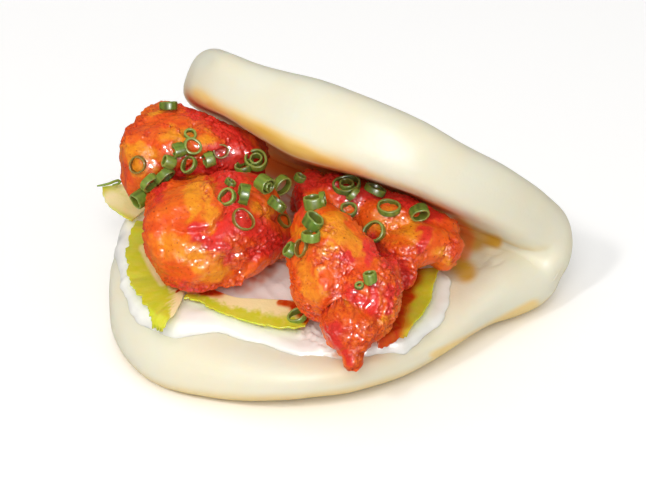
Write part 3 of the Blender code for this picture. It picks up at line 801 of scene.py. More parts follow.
def paint_skin(mesh, inner, facing):
    """Keep the glaze colour, painted shade and painted warm shade of the skin at each point.

    Glaze colour with painted shade and bounce light tints the inside near the chicken and along strokes,
    unevenly by noise. Painted warm shade lies where it faces down low, on the lid's lip and at the low
    edge.
    """
    points, normals = points_of(mesh), normals_of(mesh)
    seen = pixels_of(points)
    rough = 0.5 + 0.5 * noise(points, *GLAZE_AND_SHADE_NOISE)
    inside = (
        inner * smooth_step(points[:, 2], *GLAZE_AND_SHADE_ABOVE) * smooth_step(points[:, 0], *GLAZE_AND_SHADE_RIGHT_OF))
    close = near_chicken(points, GLAZE_AND_SHADE_SPREADS) * inside
    stroked = inside * smooth_step(points[:, 1], *STROKES_BEHIND)
    thin = stroke_cover(seen, DOUGH_PAINTED_SHADE) * stroked * (0.8 + 0.4 * rough)
    thick = stroke_cover(seen, DOUGH_DEEP_PAINTED_SHADE) * stroked * (0.7 + 0.3 * rough)
    # Painted glaze-coloured bounce light and shade along the lid's lower lip.
    lip = stroke_cover(seen, LID_LIP_GLAZE_BOUNCE) * facing * (0.4 + 0.55 * rough)
    # Glaze colour with painted shade and painted bounce light near the chicken, along the shade strokes and
    # on the lip.
    stain = np.maximum(np.maximum(close * (0.5 + 0.5 * rough), thin), lip)
    # Darker painted shade in the gaps under the lid and beside the chicken.
    deep = np.maximum(thick, close ** 2 * 0.9)
    # Painted warm shade where the skin faces down low, on the lid's lip and along the low edge.
    underside = smooth_step(-normals[:, 2], *SHADE_FACING_DOWN) * smooth_step(-points[:, 2], *SHADE_BELOW)
    shaded_lip = stroke_cover(seen, LID_LIP_SHADE) * facing * (0.6 + 0.4 * rough)
    warmth = np.maximum(np.maximum(0.75 * underside, shaded_lip), 0.8 * stroke_cover(seen, LOW_EDGE_SHADE))
    speck = facing * (1 - np.linalg.norm(seen - np.array(DOUGH_SPECK), axis=1) / SPECK_FADES_OVER)
    paint(mesh, stain=stain * 0.9, deep=deep, warmth=warmth, speck=speck)


def make_bun(settings):
    """The bun: its section grid, shaped and painted."""
    grid, (first, last), inner = bun_grid(BUN_COLUMNS, BUN_ROWS)
    mesh = smooth_mesh("bun", *capped_rings(grid, first, last))
    facing = facing_view(normals_of(mesh))
    shape_skin(mesh, inner, facing, settings)
    paint_skin(mesh, inner, facing)
    add_piece("bun_dough", mesh, dough_finish(settings), "dough", "bun")


# Cream

class BaoCreamSettings(bpy.types.PropertyGroup):
    """The white cream under the filling."""
    colour: FloatVectorProperty(
        name="Cream colour", description="Colour of the cream",
        subtype="COLOR", size=3, min=0, max=1, default=linear(254, 253, 246))
    # Glaze colour, also the colour of the painted shadow beside and between the pieces.
    stain_colour: FloatVectorProperty(
        name="Stain colour", description="Colour of the glaze that has run into the cream",
        subtype="COLOR", size=3, min=0, max=1, default=linear(222, 122, 30))
    spread_marks: FloatProperty(
        name="Spread marks", description="Height of the ridges that spreading has left",
        unit="LENGTH", subtype="DISTANCE", min=0, max=0.001, default=0.00008)


CREAM_MIDDLE = (0.0, FOLD_FROM_ORIGIN - 42 * MM)
# How far the smear's edge lies from its middle, at even steps of angle from +X towards +Y, mm.
CREAM_EDGE = (
    40.8, 42.4, 41.5, 34, 30, 28.5, 30, 35, 41, 43.5,
    42.4, 36.6, 33.0, 32.2, 33.0, 32.0, 27.0, 27.5, 32.4, 36.6,
)
# The dough counts as hidden by the smear from this far outside its edge, and below this height.
CREAM_HIDES_WITHIN = (-3 * MM, -1 * MM)
CREAM_HIDES_BELOW = BOTTOM_THICKNESS + 8 * MM
CREAM_PATCHES = linear(250, 249, 240)


def cream_edge(angle):
    """Distance of the smear's edge at an angle: a smooth closed curve through the steps."""
    count = len(CREAM_EDGE)
    place = np.mod(angle, 2 * np.pi) / (2 * np.pi) * count
    first = np.floor(place).astype(int)
    f = place - first
    f = f * f * (3 - 2 * f)
    edge = np.array(CREAM_EDGE) * MM
    return edge[first % count] * (1 - f) + edge[(first + 1) % count] * f


def under_cream(points):
    """1 where points lie within the smear's edge, seen from above, 0 beyond it."""
    offset = points[:, :2] - np.array(CREAM_MIDDLE)
    room = cream_edge(np.arctan2(offset[:, 1], offset[:, 0])) - np.linalg.norm(offset, axis=1)
    return smooth_step(room, *CREAM_HIDES_WITHIN) * (points[:, 2] < CREAM_HIDES_BELOW)


def cream_finish(settings):
    """Cream: wet, white and smooth, with glaze colour and painted shadow of the pieces on it."""
    made, tree, shader = new_finish("cream")
    patches = effect(tree, "mottle", Scale=160.0, Detail=3.0, From=0.4, To=0.7)
    colour = blend(tree, patches, settings.colour, CREAM_PATCHES, share=0.2)
    # Glaze colour and painted shadow near the chicken and along the strokes.
    colour = blend(tree, layer(tree, "stain"), colour, settings.stain_colour)
    relief = effect(tree, "relief", Scale=500.0, Fine=0.3)
    feed(tree, shader, {
        "Base Color": colour,
        "Roughness": between(tree, patches, low=0.28, high=0.42),
        "Normal": bump(tree, relief, strength=0.15, distance=0.3 * MM),
        "Coat Weight": 0.1,
        "Coat Roughness": 0.2,
        "Subsurface Weight": 0.4,
        "Subsurface Scale": 3 * MM,
        "Subsurface Radius": (1.0, 0.95, 0.88),
    })
    return made


# Where the cream is crumbled, and where it takes glaze colour and painted shadow: half width in mm, then
# view pixels.
CREAM_CRUMBS = ((1.9, (306, 333), (318, 338), (331, 345)),)
CREAM_GLAZE_AND_SHADE = (
    (0.8, (336, 356), (346, 358)),
    (1.7, (242, 287), (256, 279), (270, 268)),
    (1.2, (436, 262), (452, 262)),
    (2.6, (280, 174), (288, 194), (290, 212)),
)
# The smear's mesh: spokes round it, and rings on its upper and its lower face.
CREAM_SPOKES = 420
CREAM_UPPER_RINGS = 64
CREAM_LOWER_RINGS = 12
# Its edge wanders by noise that is worked out round a circle: height, wavelength, seed.
CREAM_EDGE_CIRCLE = 40 * MM
CREAM_EDGE_NOISE = ((0.4 * MM, 6 * MM, 21), (0.3 * MM, 2.4 * MM, 22))
# How far its lower face lies off the bread in the middle, and how much less at the edge.
CREAM_OFF_BREAD = 0.3 * MM
CREAM_CLOSES_BY = 0.26 * MM
# Beyond the bread's outline the lower face and the crest drop by these shares of the distance.
CREAM_BASE_DROPS = 0.35
CREAM_CREST_DROPS = 0.5
# The crest swells this many times round the smear and turns by this angle out to its edge.
CREAM_SWELLINGS = 5
CREAM_SWELLINGS_TURN = 9
# Spread marks between the middle and the edge, and how they wander: share, wavelength, seed.
SPREAD_MARKS = 7
SPREAD_WANDERS = ((1.2, 16 * MM, 23),)
CREAM_NOISE = ((0.3 * MM, 9 * MM, 24), (0.05 * MM, 2.5 * MM, 26))
# The crumbled stretch: nodules as share, spacing and seed, their height, and where it faces up:
# they begin and are full at these Z of its normal.
CRUMBS = ((1.0, 1.7 * MM, 44), (0.5, 0.9 * MM, 48))
CRUMB_HEIGHT = 0.7 * MM
CRUMBS_FACE_UP = (0.2, 0.6)
# The level of the crumbs that stays where it was.
CRUMBS_MIDDLE = 0.3
# Unevenness of the glaze colour and painted shadow, and how far they spread from the chicken.
CREAM_TINT_NOISE = (1.5 * MM, 25)
CREAM_GLAZE_AND_SHADE_SPREADS = 0.4 * MM


def cream_ring(settings, angle, edge, level, share, marks):
    """A ring of the smear, at this level of the way out to its edge.

    Height = base + (crest - base) * share. The base lies just off the bread. The crest is the
    bread's level and the cream's depth, with swellings, and with spread marks and noise by marks.
    """
    x = CREAM_MIDDLE[0] + level * edge * np.cos(angle)
    y = CREAM_MIDDLE[1] + level * edge * np.sin(angle)
    bread, unrounded, inset = bread_top(x, y)
    beyond = np.maximum(-inset, 0)
    base = bread + CREAM_OFF_BREAD - CREAM_CLOSES_BY * level ** 16 - CREAM_BASE_DROPS * beyond
    flat = np.stack([x, y, np.zeros(len(angle))], axis=1)
    waves = np.sin(2 * np.pi * (level * SPREAD_MARKS + layered(noise, flat, SPREAD_WANDERS)))
    swell = 1 + (CREAM_SWELL - 1) * np.sin(CREAM_SWELLINGS * angle + CREAM_SWELLINGS_TURN * level)
    crest = unrounded + CREAM_GAP + CREAM_DEPTH * swell - CREAM_CREST_DROPS * beyond
    crest = crest + marks * (settings.spread_marks * waves + layered(noise, flat, CREAM_NOISE))
    return np.stack([x, y, base + (crest - base) * share], axis=1)


def cream_grid(settings):
    """The smear's rings, over the upper face from the middle to the edge and back below.

    The upper face's share of the height is (1 - level^9)^(1/2), which rounds the edge, and the
    spread marks fade out as 1 - level^12.
    """
    angle = np.arange(CREAM_SPOKES) * 2 * np.pi / CREAM_SPOKES
    circle = np.stack([np.cos(angle), np.sin(angle), np.zeros(CREAM_SPOKES)], axis=1) * CREAM_EDGE_CIRCLE
    edge = cream_edge(angle) + layered(noise, circle, CREAM_EDGE_NOISE)
    upper = [
        cream_ring(settings, angle, edge, level, math.sqrt(1 - level ** 9), 1 - level ** 12)
        for level in 1 - (1 - np.linspace(0.02, 0.995, CREAM_UPPER_RINGS)) ** 1.3]
    rim = cream_ring(settings, angle, edge, 1.0, 0.05, 0.0)
    lower = [
        cream_ring(settings, angle, edge, level, 0.0, 0.0)
        for level in np.linspace(0.985, 0.03, CREAM_LOWER_RINGS)]
    return np.stack(upper + [rim] + lower)


def make_cream(settings):
    """The smear: rings, crumbled in one place, with glaze and painted shadow by the chicken and along
    strokes.
    """
    grid = cream_grid(settings)
    mesh = smooth_mesh("cream", *capped_rings(grid, grid[0].mean(axis=0), grid[-1].mean(axis=0)))
    points, normals = points_of(mesh), normals_of(mesh)
    seen = pixels_of(points)
    crumbs = layered(nodules, points, CRUMBS)
    crumbled = stroke_cover(seen, CREAM_CRUMBS) * smooth_step(normals[:, 2], *CRUMBS_FACE_UP)
    push = CRUMB_HEIGHT * crumbled * (crumbs - CRUMBS_MIDDLE)
    move_points(mesh, points + normals * push[:, None])
    # Painted shadow of the pieces, and glaze, along the strokes.
    stroked = 0.8 * stroke_cover(seen, CREAM_GLAZE_AND_SHADE) * facing_view(normals)
    between_crumbs = 0.25 * crumbled * (1 - smooth_step(crumbs, 0.1, 0.5))
    uneven = 0.6 + 0.4 * noise(points, *CREAM_TINT_NOISE)
    # Glaze colour and painted contact shade close to the chicken.
    close = 0.2 * near_chicken(points, CREAM_GLAZE_AND_SHADE_SPREADS)
    paint(mesh, stain=np.maximum(np.maximum(stroked, between_crumbs) * uneven, close))
    add_piece("cream_smear", mesh, cream_finish(settings), "cream", "cream")


# Lettuce

class BaoLettuceSettings(bpy.types.PropertyGroup):
    """The leaves on the cream."""
    green: FloatVectorProperty(
        name="Green", description="Colour of the leaf's frilled edge",
        subtype="COLOR", size=3, min=0, max=1, default=linear(200, 214, 34))
    pale: FloatVectorProperty(
        name="Pale", description="Colour of the leaf's rib",
        subtype="COLOR", size=3, min=0, max=1, default=linear(255, 240, 184))
    # Glaze colour, also the colour of the painted shadow and painted red reflection of the pieces on the
    # leaves.
    stain_colour: FloatVectorProperty(
        name="Stain colour", description="Colour of the glaze on the leaf",
        subtype="COLOR", size=3, min=0, max=1, default=linear(200, 52, 14))
    thickness: FloatProperty(
        name="Leaf thickness", description="Thickness of a leaf",
        unit="LENGTH", subtype="DISTANCE", min=0.0002, max=0.002, default=0.0004)


LEAF_SECOND_GREEN = linear(212, 214, 44)
# Amber of thin glaze and of light painted shade on the leaf.
LEAF_THIN_GLAZE_AND_SHADE = linear(226, 140, 24)


def lettuce_finish(settings):
    """Leaf: yellow-green at the edge, pale by the rib, veined, with glaze colour and painted shadow on it.

    Thin cover is amber. Its square turns it deep red where it is thick: glaze, painted shadow and red
    reflection.
    """
    made, tree, shader = new_finish("lettuce")
    stain = layer(tree, "stain")
    patches = effect(tree, "mottle", Scale=260.0, Detail=3.0, From=0.35, To=0.65)
    green = blend(tree, patches, settings.green, LEAF_SECOND_GREEN)
    colour = blend(tree, layer(tree, "pale"), green, settings.pale)
    colour = blend(tree, layer(tree, "vein"), colour, settings.pale, share=0.1)
    colour = blend(tree, stain, colour, LEAF_THIN_GLAZE_AND_SHADE)
    colour = blend(tree, product(tree, stain, stain), colour, settings.stain_colour)
    relief = effect(tree, "relief", Scale=700.0, Fine=0.4)
    feed(tree, shader, {
        "Base Color": colour,
        "Roughness": between(tree, stain, low=0.42, high=0.2),
        "Normal": bump(tree, relief, strength=0.25, distance=0.3 * MM),
        "Specular IOR Level": 0.25,
        "Coat Weight": 0.08,
        "Coat Roughness": 0.2,
        "Subsurface Weight": 0.2,
        "Subsurface Scale": 1.5 * MM,
    })
    return made


# Leaves: the outer and the inner edge as view pixels; then ruffle in mm, the length of a ruffle in
# mm, whether stiff, how ragged the edge is in mm, and where across the leaf it turns pale.
LEAVES = {
    "lettuce_back_left": (
        ((102, 190), (106, 203), (118, 215), (132, 222)),
        ((132, 184), (136, 190), (142, 198), (150, 206)),
        0.4, 9.0, True, 0.15, (0.1, 0.9)),
    "lettuce_left": (
        ((136, 222), (129, 243), (127, 262), (131, 284), (142, 302), (153, 320), (165, 331)),
        ((172, 228), (174, 244), (176, 262), (180, 278), (184, 288), (183, 298), (174, 316)),
        0.45, 13.0, False, 0.4, (0.5, 0.85)),
    "lettuce_front": (
        ((184, 300), (196, 302), (208, 308), (226, 316), (246, 322), (268, 327), (288, 330), (305, 328)),
        ((192, 286), (204, 287), (218, 293), (236, 299), (256, 300), (276, 301), (296, 303), (316, 310)),
        0.3, 12.0, False, 0.35, (0.25, 0.6)),
    "lettuce_right": (
        ((378, 351), (394, 344), (409, 332), (421, 318), (430, 303), (433, 290), (436, 278), (440, 268)),
        ((366, 330), (374, 322), (382, 312), (388, 302), (391, 292), (393, 284), (394, 277), (396, 270)),
        0.35, 12.0, False, 0.15, (0.7, 1.0)),
}
LEAF_PALE = {
    "lettuce_back_left": ((2.0, (112, 200), (140, 212)),),
    "lettuce_left": ((0.9, (143, 250), (152, 268), (162, 284)), (0.5, (164, 262), (170, 290))),
    "lettuce_front": ((1.0, (262, 309), (290, 314)),),
    "lettuce_right": (),
}
# Glaze colour on the leaves, with painted shadow and painted red reflection where the pieces shade the
# front and right leaves.
LEAF_GLAZE_AND_SHADE = {
    "lettuce_back_left": (),
    "lettuce_left": ((0.5, (176, 292), (182, 287)),),
    "lettuce_front": (
        (1.0, (200, 291), (222, 292), (244, 290)),
        (1.5, (296, 308), (306, 318)),
        (0.8, (280, 304), (296, 308)),
    ),
    "lettuce_right": ((3.2, (380, 356), (394, 324), (403, 292), (408, 270)), (2.4, (392, 300), (402, 280))),
}
# A leaf's mesh: points along it and across it.
LEAF_ALONG = 220
LEAF_ACROSS = 56
# Heights that a sight line is followed down through to meet a leaf.
SIGHT_HEIGHTS = np.linspace(26, 6, 401) * MM
# Noise over a leaf, sizes in mm: its ragged edge, the ruffles' drift, small swellings, streaks.
LEAF_EDGE_NOISE = ((1.0, 1.3, 0), (0.5, 0.5, 1))
LEAF_DRIFT_NOISE = ((0.3, 6.0, 2),)
LEAF_SMALL_NOISE = ((0.5, 1.8, 3),)
LEAF_STREAKS = ((1.0, 0.9, 4),)
LEAF_FINE_STREAKS = ((0.5, 0.4, 5),)
# Mottling of a leaf's colours, wavelength and seed, and how far glaze colour and painted shade spread onto
# it.
LEAF_MOTTLE = (3.5 * MM, 71)
LEAF_GLAZE_AND_SHADE_SPREADS = 0.8 * MM


def leaf_level(x, y, stiff):
    """Height at x, y of a leaf's upper face where it lies flat; a stiff leaf doesn't droop."""
    bread, unrounded, inset = bread_top(x, y)
    drooping = bread + (unrounded - bread) * smooth_step(inset, *LEAF_DROOPS_WITHIN)
    level = np.full_like(drooping, BOTTOM_THICKNESS) if stiff else drooping
    return level + CREAM_GAP + CREAM_DEPTH * CREAM_SWELL + LEAF_GAP


def leaf_edge(line, stiff, steps):
    """Places on the leaf's level that are seen along a line of pixels, as a smooth curve.

    Each sight line is followed down from above until it meets the level.
    """
    knots = []
    for pixel in line:
        eye, direction = sight_line(pixel)
        places = eye + direction * (SIGHT_HEIGHTS[:, None] - eye[2]) / direction[2]
        below = places[:, 2] <= leaf_level(places[:, 0], places[:, 1], stiff)
        knots.append(places[np.argmax(below), :2])
    knots = np.array(knots)
    at = steps * (len(knots) - 1)
    return np.stack([smooth_curve(at, knots[:, axis]) for axis in range(2)], axis=1)


def leaf_grid(name):
    """A leaf's upper face: a patch between its two edge curves, place u along and w across it.

    The outer edge is ragged by noise, and ruffles up in waves that die away inwards. Also
    returns w and a streak value a point.
    """
    outer_line, inner_line, ruffle, wave_length, stiff, ragged, _ = LEAVES[name]
    steps = np.linspace(0, 1, LEAF_ALONG)
    outer, inner = leaf_edge(outer_line, stiff, steps), leaf_edge(inner_line, stiff, steps)
    u, w = np.meshgrid(steps, np.linspace(0, 1, LEAF_ACROSS), indexing="ij")
    length = np.linalg.norm(np.diff(outer, axis=0), axis=1).sum() / MM
    seed = list(LEAVES).index(name) + 60

    def varied(layers, across):
        """Noise that runs the leaf's length along it, and this many mm across it."""
        places = np.stack([u.ravel() * length, w.ravel() * across, np.full(u.size, seed)], axis=1)
        return layered(noise, places, layers, seed).reshape(u.shape)

    push = ragged * varied(LEAF_EDGE_NOISE, 0) * (1 - w) ** 3
    outward_way = (outer - inner) / np.linalg.norm(outer - inner, axis=1)[:, None]
    flat = outer[:, None] * (1 - w[..., None]) + inner[:, None] * w[..., None]
    flat = flat + outward_way[:, None] * (push * MM)[..., None]
    x, y = flat[..., 0], flat[..., 1]
    waves = u * length / wave_length + varied(LEAF_DRIFT_NOISE, 2)
    wave = 0.5 + 0.5 * np.sin(2 * np.pi * waves + 1.5 * w)
    small = 0.5 + varied(LEAF_SMALL_NOISE, 3)
    rise = ruffle * (wave * (1 - w) ** 1.2 + 0.2 * small * (1 - 0.6 * w))
    z = leaf_level(x, y, stiff) + rise * MM
    streak = varied(LEAF_STREAKS, 5) + varied(LEAF_FINE_STREAKS, 6)
    return np.stack([x, y, z], axis=-1), w.ravel(), streak.ravel()


def make_leaf(name, settings, finish):
    """A thin leaf: its upper face, thickened. It turns pale across itself, unevenly by noise."""
    grid, w, streak = leaf_grid(name)
    a, b = np.meshgrid(np.arange(LEAF_ALONG - 1), np.arange(LEAF_ACROSS - 1), indexing="ij")
    corner = (a * LEAF_ACROSS + b).ravel()
    faces = np.stack([corner, corner + LEAF_ACROSS, corner + LEAF_ACROSS + 1, corner + 1], axis=1)
    points = grid.reshape(-1, 3)
    first = points[faces[0]]
    if np.cross(first[1] - first[0], first[2] - first[0])[2] < 0:
        faces = faces[:, ::-1]
    mesh = smooth_mesh(name, points, faces.tolist())
    seen = pixels_of(points)
    mottled = noise(points, *LEAF_MOTTLE)
    pale = stroke_cover(seen, LEAF_PALE[name]) * (0.8 + 0.3 * mottled)
    turns_pale = smooth_step(w + 0.12 * mottled + 0.12 * streak, *LEAVES[name][-1])
    # Glaze colour with painted shadow and red reflection of the pieces, along the strokes and near the
    # chicken.
    stain = stroke_cover(seen + 4 * mottled[:, None], LEAF_GLAZE_AND_SHADE[name]) * (0.95 + 0.08 * streak)
    stain = np.maximum(stain, 0.75 * near_chicken(points, LEAF_GLAZE_AND_SHADE_SPREADS))
    paint(mesh, pale=np.maximum(pale, turns_pale), stain=stain, vein=0.5 + 0.5 * streak)
    leaf = add_piece(f"{name}_leaf", mesh, finish, "lettuce", name)
    solid = leaf.modifiers.new("thickness", "SOLIDIFY")
    solid.thickness = settings.thickness
    solid.offset = 1.0


# Glazed fried pieces

class BaoChickenSettings(bpy.types.PropertyGroup):
    """The glazed fried pieces."""
    batter: FloatVectorProperty(
        name="Batter", description="Colour of the glazed batter",
        subtype="COLOR", size=3, min=0, max=1, default=linear(236, 94, 20))
    crust: FloatVectorProperty(
        name="Crust", description="Colour where the crust shows through the glaze",
        subtype="COLOR", size=3, min=0, max=1, default=linear(240, 150, 30))
    glaze: FloatVectorProperty(
        name="Glaze", description="Colour of the glaze where it lies thick",
        subtype="COLOR", size=3, min=0, max=1, default=linear(226, 48, 42))
    crag_height: FloatProperty(
        name="Crag height", description="Height of the crust's small nodules",
        unit="LENGTH", subtype="DISTANCE", min=0, max=0.002, default=0.00062)


# A lobe is (pixel x, pixel y, height of centre in mm, then half width, half height and half
# depth in mm as seen in the view), as in the part's source.
CHICKEN_LOBES = {
    "chicken_left_back": (
        (173, 147, 38, 11.2, 9.4, 12),
        (207, 151, 37, 12.5, 8.6, 11.5),
        (147, 167, 35, 5.8, 8.8, 9),
        (180, 122, 40, 9.2, 5.2, 6.5),
        (238, 148, 34, 7.2, 5.5, 9),
        (182, 186, 25, 8.5, 7.2, 9),
        (224, 176, 27, 8.5, 6.5, 9),
    ),
    "chicken_left_front": (
        (200, 235, 30, 13.0, 12, 13),
        (240, 237, 27.2, 9.8, 10.2, 11),
        (175, 215, 29, 7.5, 9, 9),
        (225, 205, 31, 12, 8, 11),
        (277, 232, 24.8, 4.5, 6.5, 6),
        (190, 268, 24, 6, 4.5, 6),
        (276, 200, 20, 3.5, 5, 5),
        (276, 173, 31, 3.6, 3.0, 4),
    ),
    "chicken_right_front": (
        (325, 253, 30, 8.3, 10.6, 10.5),
        (328, 284, 25.5, 8.0, 8.2, 9),
        (342, 266, 28, 8.5, 8.5, 9),
        (366, 300, 24, 7.2, 9.5, 8),
        (351, 327, 21.4, 6.6, 5.6, 6.5),
        (354, 347, 17.5, 3.7, 3.4, 4),
        (353, 360.5, 16, 2.4, 2.7, 3),
        (317, 225, 33, 6.0, 5, 6),
        (388, 285, 23, 3.6, 6, 5),
    ),
    "chicken_right_back": (
        (345, 205, 27, 11, 7, 8),
        (395, 222, 25.5, 11, 7, 8),
        (430, 231, 24, 6.2, 6.2, 6),
        (310, 190, 28, 5.0, 4.5, 6),
        (402, 253, 23.5, 5.4, 4.8, 6),
        (405, 277, 21, 2.8, 4.6, 4.2),
        (442, 251, 22, 3.2, 4.4, 4),
        (420, 243, 24.5, 6.5, 4.8, 6),
        (300, 204, 20, 4, 5, 6),
    ),
}
# Powers that round the valleys between lobes, and the edges where planes cut a piece.
LOBE_BLEND = 14
CUT_BLEND = 14

# Strokes seen on the pieces: half width in mm, then view pixels. Glaze lies thick and red,
# crust shows yellow, craggy is where the crust is rough.
GLAZE_STROKES = (
    (1.7, (183, 103), (196, 112), (212, 120), (230, 126)),
    (2.4, (222, 130), (236, 142), (248, 156)),
    (2.6, (216, 152), (228, 160), (244, 168), (262, 176)),
    (3.2, (216, 168), (230, 180), (236, 196), (236, 214), (232, 228)),
    (1.5, (228, 232), (212, 236), (196, 234)),
    (1.4, (178, 174), (194, 166), (208, 164)),
    (2.6, (240, 222), (258, 228), (274, 238), (284, 244)),
    (1.6, (252, 252), (266, 252), (276, 246)),
    (1.0, (172, 284), (192, 291), (214, 291)),
    (1.2, (162, 184), (157, 196)),
    (1.4, (206, 241), (222, 247), (228, 256)),
    (2.3, (300, 184), (312, 177), (326, 176), (338, 180)),
    (1.6, (299, 190), (300, 210)),
    (2.0, (350, 197), (372, 195), (396, 199), (420, 206), (438, 213)),
    (2.0, (371, 246), (382, 252), (392, 262)),
    (1.5, (404, 266), (409, 276), (402, 288)),
    (1.3, (424, 232), (422, 248)),
    (0.9, (344, 256), (352, 264)),
    (1.7, (346, 292), (356, 298), (364, 300)),
    (1.6, (372, 278), (373, 292), (370, 308)),
    (1.6, (331, 324), (336, 332), (339, 342)),
    (0.9, (346, 352), (352, 362)),
    (1.1, (389, 290), (388, 308)),
    (1.2, (364, 244), (368, 258)),
)
CRUST_STROKES = (
    (1.8, (129, 150), (136, 166)),
    (1.5, (142, 146), (152, 160)),
    (1.7, (168, 136), (186, 133)),
    (1.3, (204, 137), (222, 142)),
    (1.1, (152, 113), (166, 107)),
    (1.8, (196, 180), (194, 196), (196, 214)),
    (1.4, (206, 198), (210, 212), (215, 222)),
    (1.5, (202, 180), (208, 190)),
    (3.0, (168, 241), (184, 248), (198, 256)),
    (2.3, (202, 262), (218, 267)),
    (1.2, (208, 273), (196, 270)),
    (1.5, (250, 205), (264, 210)),
    (2.3, (384, 222), (400, 229), (420, 238)),
    (1.2, (392, 218), (412, 225), (426, 236)),
    (1.2, (438, 248), (446, 262)),
    (1.7, (322, 252), (330, 246)),
    (2.2, (336, 222), (346, 232), (352, 246)),
    (2.2, (305, 268), (307, 284), (313, 300)),
    (0.7, (322, 270), (320, 284), (325, 298)),
    (1.4, (292, 236), (300, 232)),
    (1.2, (380, 322), (386, 312)),
    (1.2, (320, 222), (326, 228)),
)
CRAGGY_STROKES = (
    (1.8, (178, 102), (196, 108)),
    (1.1, (206, 118), (228, 125)),
    (1.3, (123, 142), (131, 126), (146, 112)),
    (2.3, (212, 246), (232, 256), (256, 246), (276, 240)),
    (1.6, (166, 282), (200, 291), (240, 284)),
    (1.8, (150, 202), (155, 187), (168, 178)),
    (1.4, (230, 190), (237, 214)),
    (3.0, (350, 280), (348, 304)),
    (3.0, (330, 320), (350, 336), (368, 330)),
    (2.6, (384, 270), (392, 296), (382, 326)),
    (2.0, (353, 350), (353, 366)),
    (1.6, (292, 274), (300, 300), (312, 318)),
    (1.5, (318, 262), (342, 263)),
    (2.6, (384, 251), (402, 254), (416, 252)),
    (1.8, (410, 272), (402, 288)),
    (1.8, (447, 258), (453, 242)),
    (1.8, (299, 186), (316, 179), (338, 183)),
)
# Where glaze stands wet and beads: the same.
WET_STROKES = (
    (2.6, (203, 240), (220, 252)),
    (1.6, (237, 236), (240, 252)),
    (1.1, (236, 266), (238, 272)),
    (1.0, (204, 188), (206, 198)),
    (1.1, (143, 134), (147, 134)),
    (2.0, (196, 120), (226, 134)),
    (1.1, (240, 142), (245, 150)),
    (1.6, (222, 168), (232, 180)),
    (1.3, (300, 188), (303, 200)),
    (1.4, (312, 178), (330, 178)),
    (1.1, (328, 229), (331, 233)),
    (1.8, (320, 250), (340, 256)),
    (1.5, (334, 292), (340, 296)),
    (1.9, (331, 332), (344, 338)),
    (1.4, (260, 212), (262, 236)),
    (1.2, (384, 226), (402, 232)),
)
# Domes of crust: (height in mm, radius in mm, view pixel).
CHICKEN_DOMES = (
    (0.8, 4.2, (148, 148)),
    (0.7, 3.4, (204, 130)),
    (0.7, 1.8, (184, 103)),
    (1.1, 3.8, (256, 212)),
    (0.7, 4.6, (180, 256)),
    (-0.7, 2.6, (232, 236)),
    (0.6, 2.2, (212, 250)),
    (0.6, 2.0, (240, 252)),
    (0.4, 5.5, (334, 291)),
    (0.7, 3.2, (340, 230)),
    (0.5, 1.8, (353, 360)),
    (0.9, 2.6, (402, 254)),
    (0.7, 2.2, (352, 326)),
)
# Ledges where a plate of crust ends: (rise, drop, reach, all in mm, then view pixels). The crust
# stands up on the right-hand side of the line as its points run, and falls on the left.
CHICKEN_LEDGES = (
    (1.1, 1.2, 2.8, (200, 164), (207, 176), (212, 190), (221, 202), (225, 209), (221, 219), (213, 227),
     (202, 231), (190, 231), (176, 227), (164, 230)),
    (0.4, 0.4, 1.8, (438, 245), (421, 244), (404, 240), (388, 236), (375, 230)),
    (0.6, 0.7, 2.4, (236, 142), (214, 150), (196, 158), (180, 168), (164, 178)),
    (0.3, 0.5, 1.8, (367, 289), (362, 311), (348, 320), (332, 317), (320, 310), (308, 300)),
)
# Folds of crust: (height in mm, half width in mm, view pixels); a negative height is a crease.
CHICKEN_FOLDS = (
    (0.5, 1.6, (158, 252), (180, 264), (212, 274), (240, 268)),
    (-0.6, 1.0, (374, 284), (372, 298), (366, 312)),
    (0.5, 1.4, (380, 266), (391, 280), (393, 300), (385, 320), (376, 338)),
    (-0.5, 0.9, (150, 123), (172, 130), (196, 128)),
    (0.5, 1.2, (246, 186), (262, 196), (272, 210)),
    (0.6, 0.8, (262, 256), (248, 274), (228, 287)),
)
# A ledge fades out over this share of its length at each end, and steps up between these mm.
LEDGE_FADES_OVER = 0.25
LEDGE_STEP = (-0.3, 0.3)


def beside(pixels, line):
    """For each pixel, its distance in mm from a line of pixels, positive on the right-hand side
    as the line runs, and how far along the line it is, 0 to 1."""
    line = np.array(line, float)
    lengths = np.linalg.norm(np.diff(line, axis=0), axis=1)
    nearest = np.full(len(pixels), np.inf)
    signed, along = np.zeros(len(pixels)), np.zeros(len(pixels))
    for number, length in enumerate(lengths):
        span = line[number + 1] - line[number]
        share = np.clip((pixels - line[number]) @ span / length ** 2, 0, 1)
        offset = pixels - line[number] - share[:, None] * span
        gap = np.linalg.norm(offset, axis=1)
        side = np.where(span[0] * offset[:, 1] > span[1] * offset[:, 0], 1.0, -1.0)
        closer = gap < nearest
        nearest = np.where(closer, gap, nearest)
        signed = np.where(closer, side * gap / VIEW_PIXELS_PER_MM, signed)
        along = np.where(closer, (lengths[:number].sum() + share * length) / lengths.sum(), along)
    return signed, along


